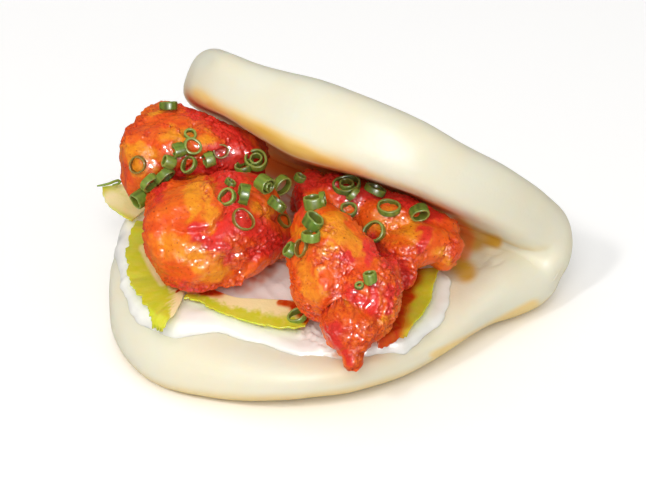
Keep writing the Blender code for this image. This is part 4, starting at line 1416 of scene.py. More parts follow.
def seen_relief(pixels):
    """How far the crust stands out at these pixels, in metres: domes, ledges and folds."""
    relief = np.zeros(len(pixels))
    for height, radius, pixel in CHICKEN_DOMES:
        gap = np.linalg.norm(pixels - np.array(pixel), axis=1) / VIEW_PIXELS_PER_MM
        relief += height * np.exp(-(gap / radius) ** 2)
    for rise, drop, reach, *line in CHICKEN_LEDGES:
        gap, along = beside(pixels, line)
        ends = smooth_step(along, 0.0, LEDGE_FADES_OVER) * smooth_step(1 - along, 0.0, LEDGE_FADES_OVER)
        above = smooth_step(gap, *LEDGE_STEP)
        relief += ends * above * rise * np.exp(-(gap / reach) ** 2)
        relief -= ends * (1 - above) * drop * np.exp(-(gap / (0.6 * reach)) ** 2)
    for height, width, *line in CHICKEN_FOLDS:
        relief += height * stroke_cover(pixels, ((width, *line),))
    return relief * MM


def lobe_frames(name):
    """Centre and semi-axes of each lobe of a piece, and the piece's heart, their mean by size."""
    frames = []
    for pixel_x, pixel_y, height, wide, tall, deep in CHICKEN_LOBES[name]:
        centre = at_height((pixel_x, pixel_y), height * MM)
        frames.append((centre, np.array([wide, tall, deep]) * MM))
    sizes = np.array([np.prod(semi) for _, semi in frames])
    heart = sum(centre * size for (centre, _), size in zip(frames, sizes)) / sizes.sum()
    return frames, heart


def chicken_distance(points):
    """Roughly how far points lie outside the pieces: (ellipsoid level - 1) * least semi-axis."""
    axes = np.stack(view_axes())
    nearest = np.full(len(points), np.inf)
    for name in CHICKEN_LOBES:
        for centre, semi in lobe_frames(name)[0]:
            level = np.linalg.norm((points - centre) @ axes.T / semi, axis=1)
            nearest = np.minimum(nearest, (level - 1) * semi.min())
    return nearest


def near_chicken(points, spread):
    """1 on the chicken and inside it, falling off as e^-(distance / spread)."""
    return np.exp(-np.maximum(chicken_distance(points), 0) / spread)


# A piece's lumps: height in mm, wavelength, number added to the seed.
CHICKEN_LUMPS = ((1.2, 9 * MM, 0), (0.9, 5 * MM, 10))
# Creases run where another noise is near 0: depth in mm, wavelength, width in the noise's range.
CREASE_DEPTH = 0.7
CREASE_NOISE = ((1.0, 12 * MM, 30),)
CREASE_WIDTH = 0.12
# A direction that faces a neighbour by less than this cosine isn't cut by it.
SIDEWAYS = 1e-3


def chicken_reach(name, directions):
    """How far a piece reaches from its heart in each direction.

    Each lobe is an ellipsoid. The ray's exits from them are joined by a power sum, which
    rounds the valleys. Lumps are added and creases taken off. Planes half-way to the
    neighbours cut it.
    """
    frames, heart = lobe_frames(name)
    axes = np.stack(view_axes())
    joined = np.zeros(len(directions))
    for centre, semi in frames:
        start = axes @ (heart - centre) / semi
        ray = directions @ axes.T / semi
        a = np.sum(ray * ray, axis=1)
        b = ray @ start
        inside = b * b - a * (start @ start - 1)
        leave = np.where(inside > 0, (np.sqrt(np.maximum(inside, 0)) - b) / a, 0)
        joined += np.maximum(leave, 0) ** LOBE_BLEND
    reach = joined ** (1 / LOBE_BLEND)
    surface = heart + directions * reach[:, None]
    seed = list(CHICKEN_LOBES).index(name) + 4
    lumps = layered(noise, surface, CHICKEN_LUMPS, seed)
    creases = CREASE_DEPTH * np.exp(-(layered(noise, surface, CREASE_NOISE, seed) / CREASE_WIDTH) ** 2)
    reach = reach + (lumps - creases) * MM
    shrink = reach ** -CUT_BLEND
    for other in CHICKEN_LOBES:
        if other != name:
            other_heart = lobe_frames(other)[1]
            away = other_heart - heart
            distance = np.linalg.norm(away)
            facing = directions @ (away / distance)
            cut = (distance / 2 - HALF_GAP_BETWEEN_PIECES) / np.maximum(facing, SIDEWAYS)
            shrink += np.where(facing > SIDEWAYS, cut ** -CUT_BLEND, 0)
    return heart, shrink ** (-1 / CUT_BLEND)


def settle(points):
    """Rest points on the layers below and under the lid: heights are eased in between.

    At the very front a piece may droop over the rim.
    """
    bread, unrounded, inset = bread_top(points[:, 0], points[:, 1])
    at_rim = 1 - smooth_step(inset, *DROOPS_WITHIN_RIM)
    droop = at_rim * smooth_step(-points[:, 1], *DROOP_BEGINS_AND_ENDS)
    floor = unrounded + (bread - unrounded) * droop + CHICKEN_ABOVE_BREAD
    ceiling = lid_underside(points[:, 1]) - CHICKEN_BELOW_LID
    height = floor + FLOOR_EASE * np.logaddexp(0, (points[:, 2] - floor) / FLOOR_EASE)
    room = np.maximum(ceiling, floor + LEAST_ROOM_UNDER_LID)
    lowered = room - CEILING_EASE * np.logaddexp(0, (room - height) / CEILING_EASE)
    points[:, 2] = np.where(points[:, 1] > LID_SHADE, lowered, height)
    return points


BATTER_PALE = linear(242, 134, 28)
BATTER_RED = linear(224, 66, 22)
GLAZE_STREAK = linear(214, 60, 20)
# Dark red of glaze pooled in the hollows, and painted shade in the hollows and on the undersides.
HOLLOW_GLAZE_AND_SHADE_RED = linear(186, 36, 22)
GRIT_RED = linear(186, 34, 14)
PEPPER_BROWN = linear(120, 30, 12)
PAPRIKA_RED = linear(176, 32, 12)


def chicken_finish(settings):
    """Glazed crust: orange batter, yellow crust, red pools, glaze and painted shade in hollows, pepper, wet
    shine.
    """
    made, tree, shader = new_finish("glazed_crust")
    grain, wet = layer(tree, "grain"), layer(tree, "wet")
    blotches = effect(tree, "mottle", Scale=330.0, Detail=4.0, From=0.42, To=0.62)
    broad = effect(tree, "mottle", Scale=140.0, Detail=4.0, From=0.42, To=0.62)
    streaks = effect(tree, "mottle", Scale=620.0, Detail=3.0, From=0.54, To=0.7)
    grit = effect(tree, "mottle", Scale=1300.0, Detail=2.0, From=0.5, To=0.62)
    pepper = effect(tree, "specks", Scale=900.0, Radius=0.2, Share=0.07)
    paprika = effect(tree, "specks", Scale=1500.0, Radius=0.3, Share=0.2)
    colour = blend(tree, blotches, settings.batter, BATTER_PALE, share=0.35)
    colour = blend(tree, broad, colour, BATTER_RED, share=0.3)
    colour = blend(tree, layer(tree, "crust"), colour, settings.crust)
    colour = blend(tree, streaks, colour, GLAZE_STREAK, share=0.3)
    colour = blend(tree, layer(tree, "glaze"), colour, settings.glaze)
    # Glaze pooled in the hollows, and painted shade in the hollows and on the faces turned down.
    colour = blend(tree, layer(tree, "crease"), colour, HOLLOW_GLAZE_AND_SHADE_RED)
    colour = blend(tree, product(tree, grit, grain), colour, GRIT_RED, share=0.55)
    colour = blend(tree, pepper, colour, PEPPER_BROWN, share=0.7)
    colour = blend(tree, paprika, colour, PAPRIKA_RED, share=0.45)
    relief = effect(tree, "relief", Scale=850.0, Fine=0.1)
    height = product(tree, relief, between(tree, grain, low=0.35, high=1.0))
    height = product(tree, height, between(tree, wet, low=1.0, high=0.45))
    feed(tree, shader, {
        "Base Color": colour,
        "Roughness": between(tree, blotches, low=0.35, high=0.5),
        "Normal": bump(tree, height, strength=0.8, distance=0.6 * MM),
        "Specular IOR Level": 0.15,
        "Coat Weight": between(tree, wet, low=0.25, high=1.0),
        "Coat Roughness": 0.07,
        "Coat IOR": 1.5,
    })
    return made


# A piece's mesh: rings from pole to pole, and points round each.
CHICKEN_RINGS = 210
CHICKEN_AROUND = 300
# The edges of strokes and ledges wander by these pixels: height, wavelength, number added.
WANDERING = ((6, 3.2 * MM, 0), (3, 1.2 * MM, 2))
# Nodules of crust: height, spacing, number added. Then the height of them that stays where it
# was, and how far their lattice is bent, by noise of this wavelength.
CRUST_NODULES = ((0.85, 1.6 * MM, 1), (0.75, 0.95 * MM, 5))
NODULES_MIDDLE = 0.7
NODULES_BENT_BY = 0.6 * MM
NODULES_BENT_WAVE = 2.4 * MM
# How craggy the crust is where no stroke says: wavelengths, and the noise's range out of view.
UNSEEN_CRAG_WAVE = 11 * MM
UNSEEN_CRAG_RANGE = (-0.3, 0.2)
LEAST_CRAG_WAVE = 5 * MM
CRUST_NOISE = ((0.2 * MM, 2.6 * MM, 8), (0.09 * MM, 0.9 * MM, 9))
# Under the lid the crust rises by a share of the room there and this much.
CRUST_UNDER_LID = 0.4 * MM
# Crust is plain where it faces down more than the first Z, and full from the second.
CRUST_PLAIN_BELOW = (-0.9, -0.4)
# Pools of glaze and bare crust out of view: share, wavelength, number added.
POOL_NOISE = ((1.0, 6 * MM, 20), (0.5, 3 * MM, 21))


def wandering(points, seed):
    """Shifts in view pixels, by noise, that make the edges of strokes and ledges irregular."""
    return np.stack([layered(noise, points, WANDERING, seed + k) for k in (22, 23)], axis=1)


def chicken_ball(name):
    """A piece's plain mesh: a ball of rings whose points move out to the piece's reach."""
    polar = np.pi * (np.arange(CHICKEN_RINGS) + 1) / (CHICKEN_RINGS + 1)
    turn = 2 * np.pi * np.arange(CHICKEN_AROUND) / CHICKEN_AROUND
    t, a = np.meshgrid(polar, turn, indexing="ij")
    ball = np.stack([np.sin(t) * np.cos(a), np.sin(t) * np.sin(a), np.cos(t)], axis=-1)
    directions = np.concatenate([ball.reshape(-1, 3), [(0, 0, 1.0), (0, 0, -1.0)]])
    heart, reach = chicken_reach(name, directions)
    settled = settle(heart + directions * reach[:, None])
    grid = settled[:-2].reshape(CHICKEN_RINGS, CHICKEN_AROUND, 3)
    return smooth_mesh(name, *capped_rings(grid, settled[-2], settled[-1]))


def shape_crust(mesh, seed, settings):
    """Push nodules of crust, soft noise, ledges and folds out along the normals.

    Craggy is taken from the strokes where the view sees the piece and from noise elsewhere.
    Returns how craggy and how wet the crust is, and the nodules' height, one value a point.
    """
    points, normals = points_of(mesh), normals_of(mesh)
    seen, facing = pixels_of(points), facing_view(normals)
    unseen = smooth_step(noise(points, UNSEEN_CRAG_WAVE, seed), *UNSEEN_CRAG_RANGE)
    craggy = np.clip(facing * stroke_cover(seen, CRAGGY_STROKES) + (1 - facing) * unseen, 0, 1)
    wet = stroke_cover(seen, WET_STROKES) * facing
    craggy = np.maximum(craggy, 0.22 + 0.18 * noise(points, LEAST_CRAG_WAVE, seed + 3))
    craggy = np.maximum(craggy, 0.95 * wet)
    bend = np.stack([noise(points, NODULES_BENT_WAVE, seed + k) for k in (40, 41, 42)], axis=1)
    bumps = layered(nodules, points + NODULES_BENT_BY * bend, CRUST_NODULES, seed)
    push = craggy * settings.crag_height * (bumps - NODULES_MIDDLE)
    push += layered(noise, points, CRUST_NOISE, seed)
    push += facing * seen_relief(seen + 0.5 * wandering(points, seed))
    clear_of_lid = lid_underside(points[:, 1]) - CHICKEN_BELOW_LID - points[:, 2]
    lowered = np.minimum(push, clear_of_lid * 0.8 + CRUST_UNDER_LID)
    push = np.where(points[:, 1] > LID_SHADE, lowered, push)
    push = push * smooth_step(normals[:, 2], *CRUST_PLAIN_BELOW)
    move_points(mesh, points + normals * push[:, None])
    return craggy, wet, bumps


def paint_crust(mesh, seed, craggy, wet, bumps):
    """Keep glaze pools, bare crust, glaze and painted shade in hollows and undersides, grain and wetness.

    Glaze and crust are taken from the strokes in view, and from the two ends of a noise elsewhere.
    """
    points, normals = points_of(mesh), normals_of(mesh)
    facing = facing_view(normals)
    field = layered(noise, points, POOL_NOISE, seed)
    wandered = pixels_of(points) + wandering(points, seed)
    unseen = 1 - facing * 0.8
    pools = unseen * smooth_step(field, 0.12, 0.5)
    glaze = np.maximum(facing * stroke_cover(wandered, GLAZE_STROKES), pools)
    bare = unseen * smooth_step(-field, 0.2, 0.6) * 0.9
    crust = np.maximum(facing * stroke_cover(wandered, CRUST_STROKES), bare)
    # Hollows between nodules and faces turned down: painted shade there, with glaze pooled in the hollows.
    hollow = craggy * (1 - smooth_step(bumps, 0.3, 0.9))
    under = smooth_step(-normals[:, 2], 0.3, 0.9)
    crease = np.clip(0.5 * hollow + 0.3 * under, 0, 0.8)
    wet = np.maximum(wet, 0.3 * glaze * (1 - crust))
    paint(mesh, glaze=glaze * 0.95, crust=crust, crease=crease, grain=craggy, wet=wet)


def make_chicken(name, settings, finish):
    """One fried piece: its plain mesh, shaped and painted."""
    mesh = chicken_ball(name)
    seed = list(CHICKEN_LOBES).index(name) + 80
    paint_crust(mesh, seed, *shape_crust(mesh, seed, settings))
    add_piece(f"{name}_fried", mesh, finish, "glazed_chicken", name)


# Scallion

class BaoScallionSettings(bpy.types.PropertyGroup):
    """The sliced scallion."""
    skin: FloatVectorProperty(
        name="Skin", description="Colour of a slice's outer wall",
        subtype="COLOR", size=3, min=0, max=1, default=linear(92, 134, 44))
    cut: FloatVectorProperty(
        name="Cut", description="Colour of a slice's cut faces",
        subtype="COLOR", size=3, min=0, max=1, default=linear(150, 172, 88))
    wall: FloatProperty(
        name="Wall", description="Thickness of a slice's wall",
        unit="LENGTH", subtype="DISTANCE", min=0.0002, max=0.001, default=0.0006)


# A slice is (pixel x, pixel y, outer diameter in mm, height in mm, how far its axis turns away
# from the view in degrees, towards where in the view: 0 right, 90 up, and its kind, if any).
SCALLION = {
    "chicken_left_back": (
        (168.6, 105.5, 4.3, 1.8, 84, 90),
        (190.2, 134.7, 3.0, 1.2, 35, 80),
        (192.5, 146, 4.1, 1.2, 25, 20),
        (178, 149.5, 3.4, 2.6, 72, 195),
        (168.3, 161.3, 3.2, 2.6, 65, 160),
        (137.6, 164.7, 4.0, 1.3, 40, 150, "soaked"),
        (189, 165, 4.0, 1.4, 38, 150),
        (208.2, 158.3, 3.4, 2.4, 75, 200),
        (220.5, 151, 3.6, 1.2, 30, 90, "soaked"),
        (149.7, 183, 4.4, 1.8, 65, -40),
        (163.3, 179.5, 4.6, 1.8, 75, -50),
        (139.9, 198.9, 4.0, 3.0, 70, 215),
        (256.3, 160.2, 5.4, 1.6, 38, 95, "double"),
        (244.5, 166.5, 4.6, 1.6, 62, 105),
    ),
    "chicken_left_front": (
        (231, 183, 2.6, 1.2, 70, 60),
        (226.5, 198.5, 4.0, 1.6, 30, 150),
        (243.5, 194, 4.6, 2.4, 82, 170),
        (243, 219.4, 5.2, 1.1, 38, 160, "soaked"),
        (263.5, 184, 4.2, 3.2, 62, -33, "double"),
        (277.2, 204.6, 4.4, 2.0, 80, 53),
        (285, 183, 4.6, 1.8, 50, -40),
        (284.5, 220.5, 3.4, 1.0, 40, 40, "soaked"),
    ),
    "chicken_right_back": (
        (346.7, 185.2, 6.0, 1.6, 48, 95, "double"),
        (352, 193.5, 3.6, 1.4, 80, 140),
        (348.5, 209.2, 4.1, 1.3, 45, 90),
        (375.2, 189.7, 5.2, 1.6, 78, 65),
        (388.7, 207.7, 5.1, 1.5, 48, 90),
        (419, 213, 4.2, 2.4, 50, -70),
        (373.5, 232, 5.1, 1.8, 28, 150),
        (300.2, 177.7, 2.6, 1.6, 60, 60),
    ),
    "chicken_right_front": (
        (313.7, 202.5, 4.2, 2.8, 70, 100),
        (322.7, 199.5, 3.6, 1.2, 82, 10),
        (313, 222, 4.4, 2.6, 60, 60),
        (311.2, 236.2, 4.4, 2.0, 72, 90),
        (301.4, 247.5, 3.9, 1.2, 35, 60, "soaked"),
        (289.7, 249.7, 3.4, 1.8, 70, 150),
        (370, 277.4, 3.0, 2.4, 65, 100),
        (359.2, 285.7, 2.0, 1.0, 40, 90),
    ),
    "lettuce_front": (
        (297.2, 316.4, 4.2, 1.6, 50, 110),
    ),
}
# How much glaze a slice has taken up.
SOAKED = 0.5
UNSOAKED = 0.08
# A slice is seated by turns of aiming its middle and of sinking it along the surface's normal.
SEAT_TRIES = 9
AIM_SHARE = 0.8
MISS_STEP = 0.06
SINK_STEPS = 40
SINK_STEP = 0.12 * MM
# It has sunk enough when this many corners bite this deep, a flat slice by this share of it.
CORNERS_THAT_BITE = 3
BITE = 0.35 * MM
FLAT_BITE = 0.4
# A flat slice lies as the surface does at spots round it, this many pixels off for each mm of
# its diameter.
FLAT_SPOTS = 6
FLAT_SPREAD = 1.8
# A slice's mesh: sections round it and points round a section, and how round the section is.
SLICE_AROUND = 44
SLICE_SECTION = 16
SLICE_ROUNDNESS = 0.45
# Shares of the height, of a soaked slice's wall, and of an inner tube's diameter, height and wall.
OUTER_HEIGHT = 0.94
SOAKED_WALL = 0.7
INNER_TUBE = (0.56, 1.05, 0.8)


def lie_of_surface(tree, pixel, diameter):
    """The mean of the directions that the surface faces at spots round a pixel."""
    facings = []
    for turn in range(1, FLAT_SPOTS + 1):
        spot = np.array(pixel) + diameter / MM * FLAT_SPREAD * np.array([math.cos(turn), math.sin(turn)])
        eye, direction = sight_line(spot)
        facings.append(tree.ray_cast(Vector(eye), Vector(direction))[1])
    return sum((facing for facing in facings if facing is not None), Vector((0, 0, 0.01))).normalized()


def sink(tree, place, normal, turned, ring, stand, bite):
    """A slice's matrix, lowered along the normal until enough of its corners bite."""
    for _ in range(SINK_STEPS):
        seat = Matrix.Translation(place + normal * stand) @ turned
        under = 0
        for corner in ring:
            point = seat @ corner
            nearest, facing, _, _ = tree.find_nearest(point)
            under += (point - nearest).dot(facing) < -bite
        if under >= CORNERS_THAT_BITE:
            break
        stand -= SINK_STEP
    return seat


def scallion_seat(tree, middle, pixel, diameter, height, lean, towards, flat):
    """Where a slice lies, as a matrix: it is sunk until it bites, and is seen at its pixel.

    A line of sight that misses the surface is moved towards the pixel of its middle. A flat
    slice lies along the surface round it instead of leaning as given.
    """
    right, up, back = view_axes()
    sideways = right * math.cos(towards) + up * math.sin(towards)
    axis = Vector(sideways * math.sin(lean) + back * math.cos(lean))
    if flat:
        axis = lie_of_surface(tree, pixel, diameter)
    turned = axis.to_track_quat("Z", "Y").to_matrix().to_4x4()
    ring = [
        Vector((math.cos(turn) * diameter / 2, math.sin(turn) * diameter / 2, end * height / 2))
        for turn in np.arange(12) * math.pi / 6 for end in (-1, 1)
    ]
    bite = BITE * (FLAT_BITE if flat else 1)
    aim = np.array(pixel)
    best, least = None, np.inf
    for _ in range(SEAT_TRIES):
        eye, direction = sight_line(aim)
        place, normal, _, _ = tree.ray_cast(Vector(eye), Vector(direction))
        if place is None:
            aim = aim + (middle - aim) * MISS_STEP
            continue
        lying = abs(axis.dot(normal))
        stand = height / 2 * lying + diameter / 2 * math.sqrt(max(1 - lying ** 2, 0))
        seat = sink(tree, place, normal, turned, ring, stand, bite)
        miss = np.array(pixel) - pixels_of(np.array(seat.translation))
        if np.linalg.norm(miss) < least:
            best, least = seat, np.linalg.norm(miss)
        aim = aim + AIM_SHARE * miss
    if best is None:
        raise ValueError(f"no surface under the slice at {pixel}")
    return best


def slice_surface(seat, diameter, height, wall, seed):
    """A slice of scallion: a rounded wall section carried round an uneven oval.

    The section is a super-ellipse, so its edges are crisp but not sharp. The oval's radius and
    the slice's height vary by cosines of the turn. Returns points, faces, and three values a
    point: how far it is a cut face, an inner wall and a pale rib.
    """
    turn = np.arange(SLICE_AROUND) * 2 * np.pi / SLICE_AROUND
    sweep = np.arange(SLICE_SECTION) * 2 * np.pi / SLICE_SECTION
    thick = np.sign(np.cos(sweep)) * np.abs(np.cos(sweep)) ** SLICE_ROUNDNESS
    tall = np.sign(np.sin(sweep)) * np.abs(np.sin(sweep)) ** SLICE_ROUNDNESS
    phase = seed * 1.7
    oval = 1 + 0.07 * np.cos(2 * turn + phase) + 0.03 * np.sin(3 * turn + 2 * phase)
    slant = 1 + 0.1 * np.cos(turn + phase) + 0.04 * np.sin(5 * turn)
    radial = ((diameter / 2 - wall / 2) * oval)[:, None] + wall / 2 * thick[None, :]
    x = radial * np.cos(turn)[:, None]
    y = radial * np.sin(turn)[:, None]
    z = height / 2 * tall[None, :] * slant[:, None]
    grid = np.stack([x, y, z], axis=-1).reshape(-1, 3)
    points = grid @ np.array(seat.to_3x3()).T + np.array(seat.translation)
    faces = outward(points, ring_faces(SLICE_AROUND, SLICE_SECTION, closed=True))
    cut = np.tile(smooth_step(np.abs(tall), 0.9, 0.99), SLICE_AROUND)
    inner = np.tile(smooth_step(-thick, 0.3, 0.9), SLICE_AROUND)
    ribs = np.repeat(0.5 + 0.5 * np.cos(9 * turn + phase), SLICE_SECTION)
    return points, faces, cut, inner, ribs


SCALLION_DARK = linear(62, 96, 34)
SCALLION_LIGHT = linear(130, 160, 62)
SCALLION_INSIDE = linear(98, 116, 36)
SCALLION_GLAZED = linear(150, 74, 26)


def scallion_finish(settings):
    """Scallion: green skin with fine ribs, pale cut faces, a darker inside, some soaked with glaze."""
    made, tree, shader = new_finish("scallion")
    patches = effect(tree, "mottle", Scale=600.0, Detail=2.0, From=0.35, To=0.65)
    skin = blend(tree, patches, settings.skin, SCALLION_DARK)
    colour = blend(tree, layer(tree, "light"), skin, SCALLION_LIGHT)
    colour = blend(tree, layer(tree, "inner"), colour, SCALLION_INSIDE, share=0.8)
    colour = blend(tree, layer(tree, "cut"), colour, settings.cut, share=0.8)
    relief = effect(tree, "relief", Scale=1500.0, Fine=0.3)
    feed(tree, shader, {
        "Base Color": blend(tree, layer(tree, "soaked"), colour, SCALLION_GLAZED),
        "Roughness": between(tree, patches, low=0.3, high=0.45),
        "Normal": bump(tree, relief, strength=0.2, distance=0.2 * MM),
        "Specular IOR Level": 0.25,
        "Coat Weight": 0.05,
        "Coat Roughness": 0.2,
        "Subsurface Weight": 0.1,
        "Subsurface Scale": 1 * MM,
    })
    return made


def make_scallion(carrier, surface_name, settings, finish):
    """The slices that lie on one carrier, as one piece. Their tone varies by a sine of their number."""
    surface = bpy.data.objects[surface_name].data
    tree = surface_of(surface)
    middle = pixels_of(points_of(surface)).mean(axis=0)
    parts = []
    painted = {"cut": [], "inner": [], "light": [], "soaked": []}
    for number, (x, y, diameter, height, lean, towards, *kind) in enumerate(SCALLION[carrier]):
        flat = "soaked" in kind
        seat = scallion_seat(
            tree, middle, (x, y), diameter * MM, height * MM,
            math.radians(lean), math.radians(towards), flat)
        tubes = [(diameter, height * OUTER_HEIGHT, settings.wall * (SOAKED_WALL if flat else 1))]
        if "double" in kind:
            wide, tall, wall = INNER_TUBE
            tubes.append((diameter * wide, height * tall, settings.wall * wall))
        for tube, (wide, tall, wall) in enumerate(tubes):
            points, faces, cut, inner, ribs = slice_surface(
                seat, wide * MM, tall * MM, wall, number * 3 + tube + len(carrier))
            parts.append((points, faces))
            tone = 0.5 + 0.5 * math.sin(number * 2.4 + len(carrier) + tube)
            painted["cut"].append(cut)
            painted["inner"].append(inner)
            painted["light"].append(0.6 * tone + 0.2 * tube + 0.45 * ribs)
            painted["soaked"].append(np.full(len(points), SOAKED if flat else UNSOAKED))
    mesh = smooth_mesh(f"scallion_{carrier}", *join(parts))
    paint(mesh, **{name: np.concatenate(values) for name, values in painted.items()})
    add_piece(f"scallion_on_{carrier}", mesh, finish, "lettuce")


# The thin strand on the back leaf: view pixels and heights in mm along it.
STRAND = (
    (97, 186, 20.6), (103, 185, 20.9), (109, 183.6, 21.3), (114, 181.5, 21.6), (118, 180.5, 21.4),
    (120, 182, 21.0), (117.5, 184, 20.8), (112.5, 185, 20.8),
)
# Its mesh: stations along it and points round it, its radius, and how pale a cut it looks.
STRAND_STATIONS = 60
STRAND_AROUND = 10
STRAND_RADIUS = 0.32 * MM
STRAND_CUT = 0.35


def make_strand(finish):
    """A thin strand with a loop at its end: a small circle carried along a smooth path.

    Its radius is 1 - |place|^4 / 2 of the full one, place running from -1 to 1 along it.
    """
    knots = np.array([at_height((x, y), height * MM) for x, y, height in STRAND])
    steps = np.linspace(0, len(knots) - 1, STRAND_STATIONS)
    path = np.stack([smooth_curve(steps, knots[:, axis]) for axis in range(3)], axis=1)
    heading = np.gradient(path, axis=0)
    heading /= np.linalg.norm(heading, axis=1)[:, None]
    side = np.cross(heading, np.array([0, 0, 1.0]))
    side /= np.linalg.norm(side, axis=1)[:, None]
    lift = np.cross(side, heading)
    turn = np.arange(STRAND_AROUND) * 2 * np.pi / STRAND_AROUND
    radius = STRAND_RADIUS * (1 - 0.5 * np.abs(np.linspace(-1, 1, STRAND_STATIONS)) ** 4)
    grid = path[:, None, :] + radius[:, None, None] * (
        side[:, None, :] * np.cos(turn)[None, :, None] + lift[:, None, :] * np.sin(turn)[None, :, None])
    mesh = smooth_mesh("strand", *capped_rings(grid, path[0], path[-1]))
    ones = np.ones(len(mesh.vertices))
    paint(mesh, cut=STRAND_CUT * ones, inner=0 * ones, light=ones, soaked=0 * ones)
    add_piece("scallion_strand", mesh, finish, "lettuce")


# The stage

class BaoStageSettings(bpy.types.PropertyGroup):
    """The floor and the light."""
    floor_colour: FloatVectorProperty(
        name="Floor colour", description="Colour of the floor",
        subtype="COLOR", size=3, min=0, max=1, default=(0.88, 0.88, 0.88))
    key_power: FloatProperty(
        name="Key light", description="Power of the key light",
        unit="POWER", min=0, max=200, default=5.1)
    front_power: FloatProperty(
        name="Front light", description="Power of the broad light in front",
        unit="POWER", min=0, max=200, default=5.9)
    glint_power: FloatProperty(
        name="Glints", description="Power of the small light that shows only in the wet glaze",
        unit="POWER", min=0, max=500, default=95.0)
    fill: FloatProperty(
        name="Fill", description="Strength of the light from all round",
        subtype="FACTOR", min=0, max=2, default=0.37)


# Each light: turn round the food, rise above the floor, distance and size; then its colour.
KEY_PLACE = (math.radians(3), math.radians(43), 1.5, 0.16)
KEY_COLOUR = (1.0, 0.97, 0.92)
FRONT_PLACE = (math.radians(34), math.radians(42), 1.3, 0.5)
FRONT_COLOUR = (1.0, 0.98, 0.94)
GLINT_PLACE = (math.radians(54), math.radians(21), 1.5, 0.1)
GLINT_COLOUR = (1.0, 1.0, 1.0)
SKY_COLOUR = (1.0, 0.985, 0.95, 1.0)
# Shares of the fill from the sky's sides and its top, and of both as gloss shows them.
SKY_SIDES = 0.95
SKY_TOP = 2
SKY_IN_GLOSS = 0.3
FLOOR_HALF = 3.0
FLOOR_PATCHES = (0.8, 0.8, 0.8)
FLOOR_LIFTED = (1.065, 1.075, 1.105, 1.0)


def make_floor(settings):
    """A plain pale floor, which looks a little brighter to the camera than it lights the food."""
    corners = [(-1, -1, 0), (1, -1, 0), (1, 1, 0), (-1, 1, 0)]
    mesh = bpy.data.meshes.new("floor")
    mesh.from_pydata((FLOOR_HALF * np.array(corners)).tolist(), [], [(0, 1, 2, 3)])
    made, tree, shader = new_finish("floor")
    patches = effect(tree, "mottle", Scale=3.0, Detail=2.0, From=0.3, To=0.7)
    colour = blend(tree, patches, settings.floor_colour, FLOOR_PATCHES, share=0.02)
    feed(tree, shader, {"Base Color": colour, "Roughness": 0.9, "Specular IOR Level": 0.1})
    path = add_node(tree, "ShaderNodeLightPath")
    lifted = add_node(tree, "ShaderNodeBsdfDiffuse", {"Color": FLOOR_LIFTED})
    seen = add_node(tree, "ShaderNodeMixShader", {
        0: path.outputs["Is Camera Ray"], 1: shader.outputs[0], 2: lifted.outputs[0]})
    tree.links.new(seen.outputs[0], tree.nodes["Material Output"].inputs["Surface"])
    mesh.materials.append(made)
    floor = bpy.data.objects.new("floor", mesh)
    floor.visible_glossy = False
    bpy.context.scene.collection.objects.link(floor)


def make_lamp(name, place, power, colour):
    """A round soft light that faces the food."""
    turn, rise, distance, size = place
    direction = Vector(bearing(turn, rise))
    lamp = bpy.data.lights.new(name, "AREA")
    lamp.shape = "DISK"
    lamp.size = size
    lamp.energy = power
    lamp.color = colour
    light = bpy.data.objects.new(name, lamp)
    light.location = Vector(VIEW_CENTRE) + direction * distance
    light.rotation_euler = direction.to_track_quat("Z", "Y").to_euler()
    bpy.context.scene.collection.objects.link(light)
    return light


def make_lights(settings):
    """A small key from the front left, a broad light in front, a low one for glints, a pale surround."""
    make_lamp("key", KEY_PLACE, settings.key_power, KEY_COLOUR)
    front = make_lamp("front", FRONT_PLACE, settings.front_power, FRONT_COLOUR)
    front.visible_glossy = False
    glint = make_lamp("glint", GLINT_PLACE, settings.glint_power, GLINT_COLOUR)
    glint.visible_diffuse = False
    world = bpy.data.worlds.new("surround")
    world.use_nodes = True
    tree = world.node_tree
    sky = tree.nodes["Background"]
    path = add_node(tree, "ShaderNodeLightPath")
    place = add_node(tree, "ShaderNodeTexCoord")
    rise = add_node(tree, "ShaderNodeSeparateXYZ", {"Vector": place.outputs["Generated"]}).outputs["Z"]
    lit = between(tree, rise, low=settings.fill * SKY_SIDES, high=settings.fill * SKY_TOP)
    mirrored = product(tree, lit, between(tree, path.outputs["Is Glossy Ray"], low=1.0, high=SKY_IN_GLOSS))
    strength = between(tree, path.outputs["Is Camera Ray"], low=mirrored, high=1.0)
    feed(tree, sky, {"Color": SKY_COLOUR, "Strength": strength})
    bpy.context.scene.world = world


def make_camera():
    """The camera at the photographed angle, with the picture's small shift."""
    right, up, back = view_axes()
    eye = np.array(VIEW_CENTRE) + back * VIEW_DISTANCE
    lens = bpy.data.cameras.new("camera")
    lens.sensor_fit = "HORIZONTAL"
    lens.sensor_width = SENSOR_WIDTH_MM
    lens.lens = SENSOR_WIDTH_MM * VIEW_PIXELS_PER_METRE * VIEW_DISTANCE / IMAGE_SIZE[0]
    lens.shift_x = (IMAGE_SIZE[0] / 2 - VIEW_CENTRE_PIXEL[0]) / IMAGE_SIZE[0]
    lens.shift_y = -(IMAGE_SIZE[1] / 2 - VIEW_CENTRE_PIXEL[1]) / IMAGE_SIZE[0]
    camera = bpy.data.objects.new("camera", lens)
    rows = np.stack([right, up, back, eye], axis=1).tolist()
    camera.matrix_world = Matrix([*rows, (0, 0, 0, 1)])
    bpy.context.scene.collection.objects.link(camera)
    bpy.context.scene.camera = camera


# Operators

class BAO_OT_bun(bpy.types.Operator):
    """Build the folded steamed bun"""
    bl_idname = "bao.bun"
    bl_label = "Bun"

    def execute(self, context):
        make_bun(context.scene.bao_dough)
        return {"FINISHED"}


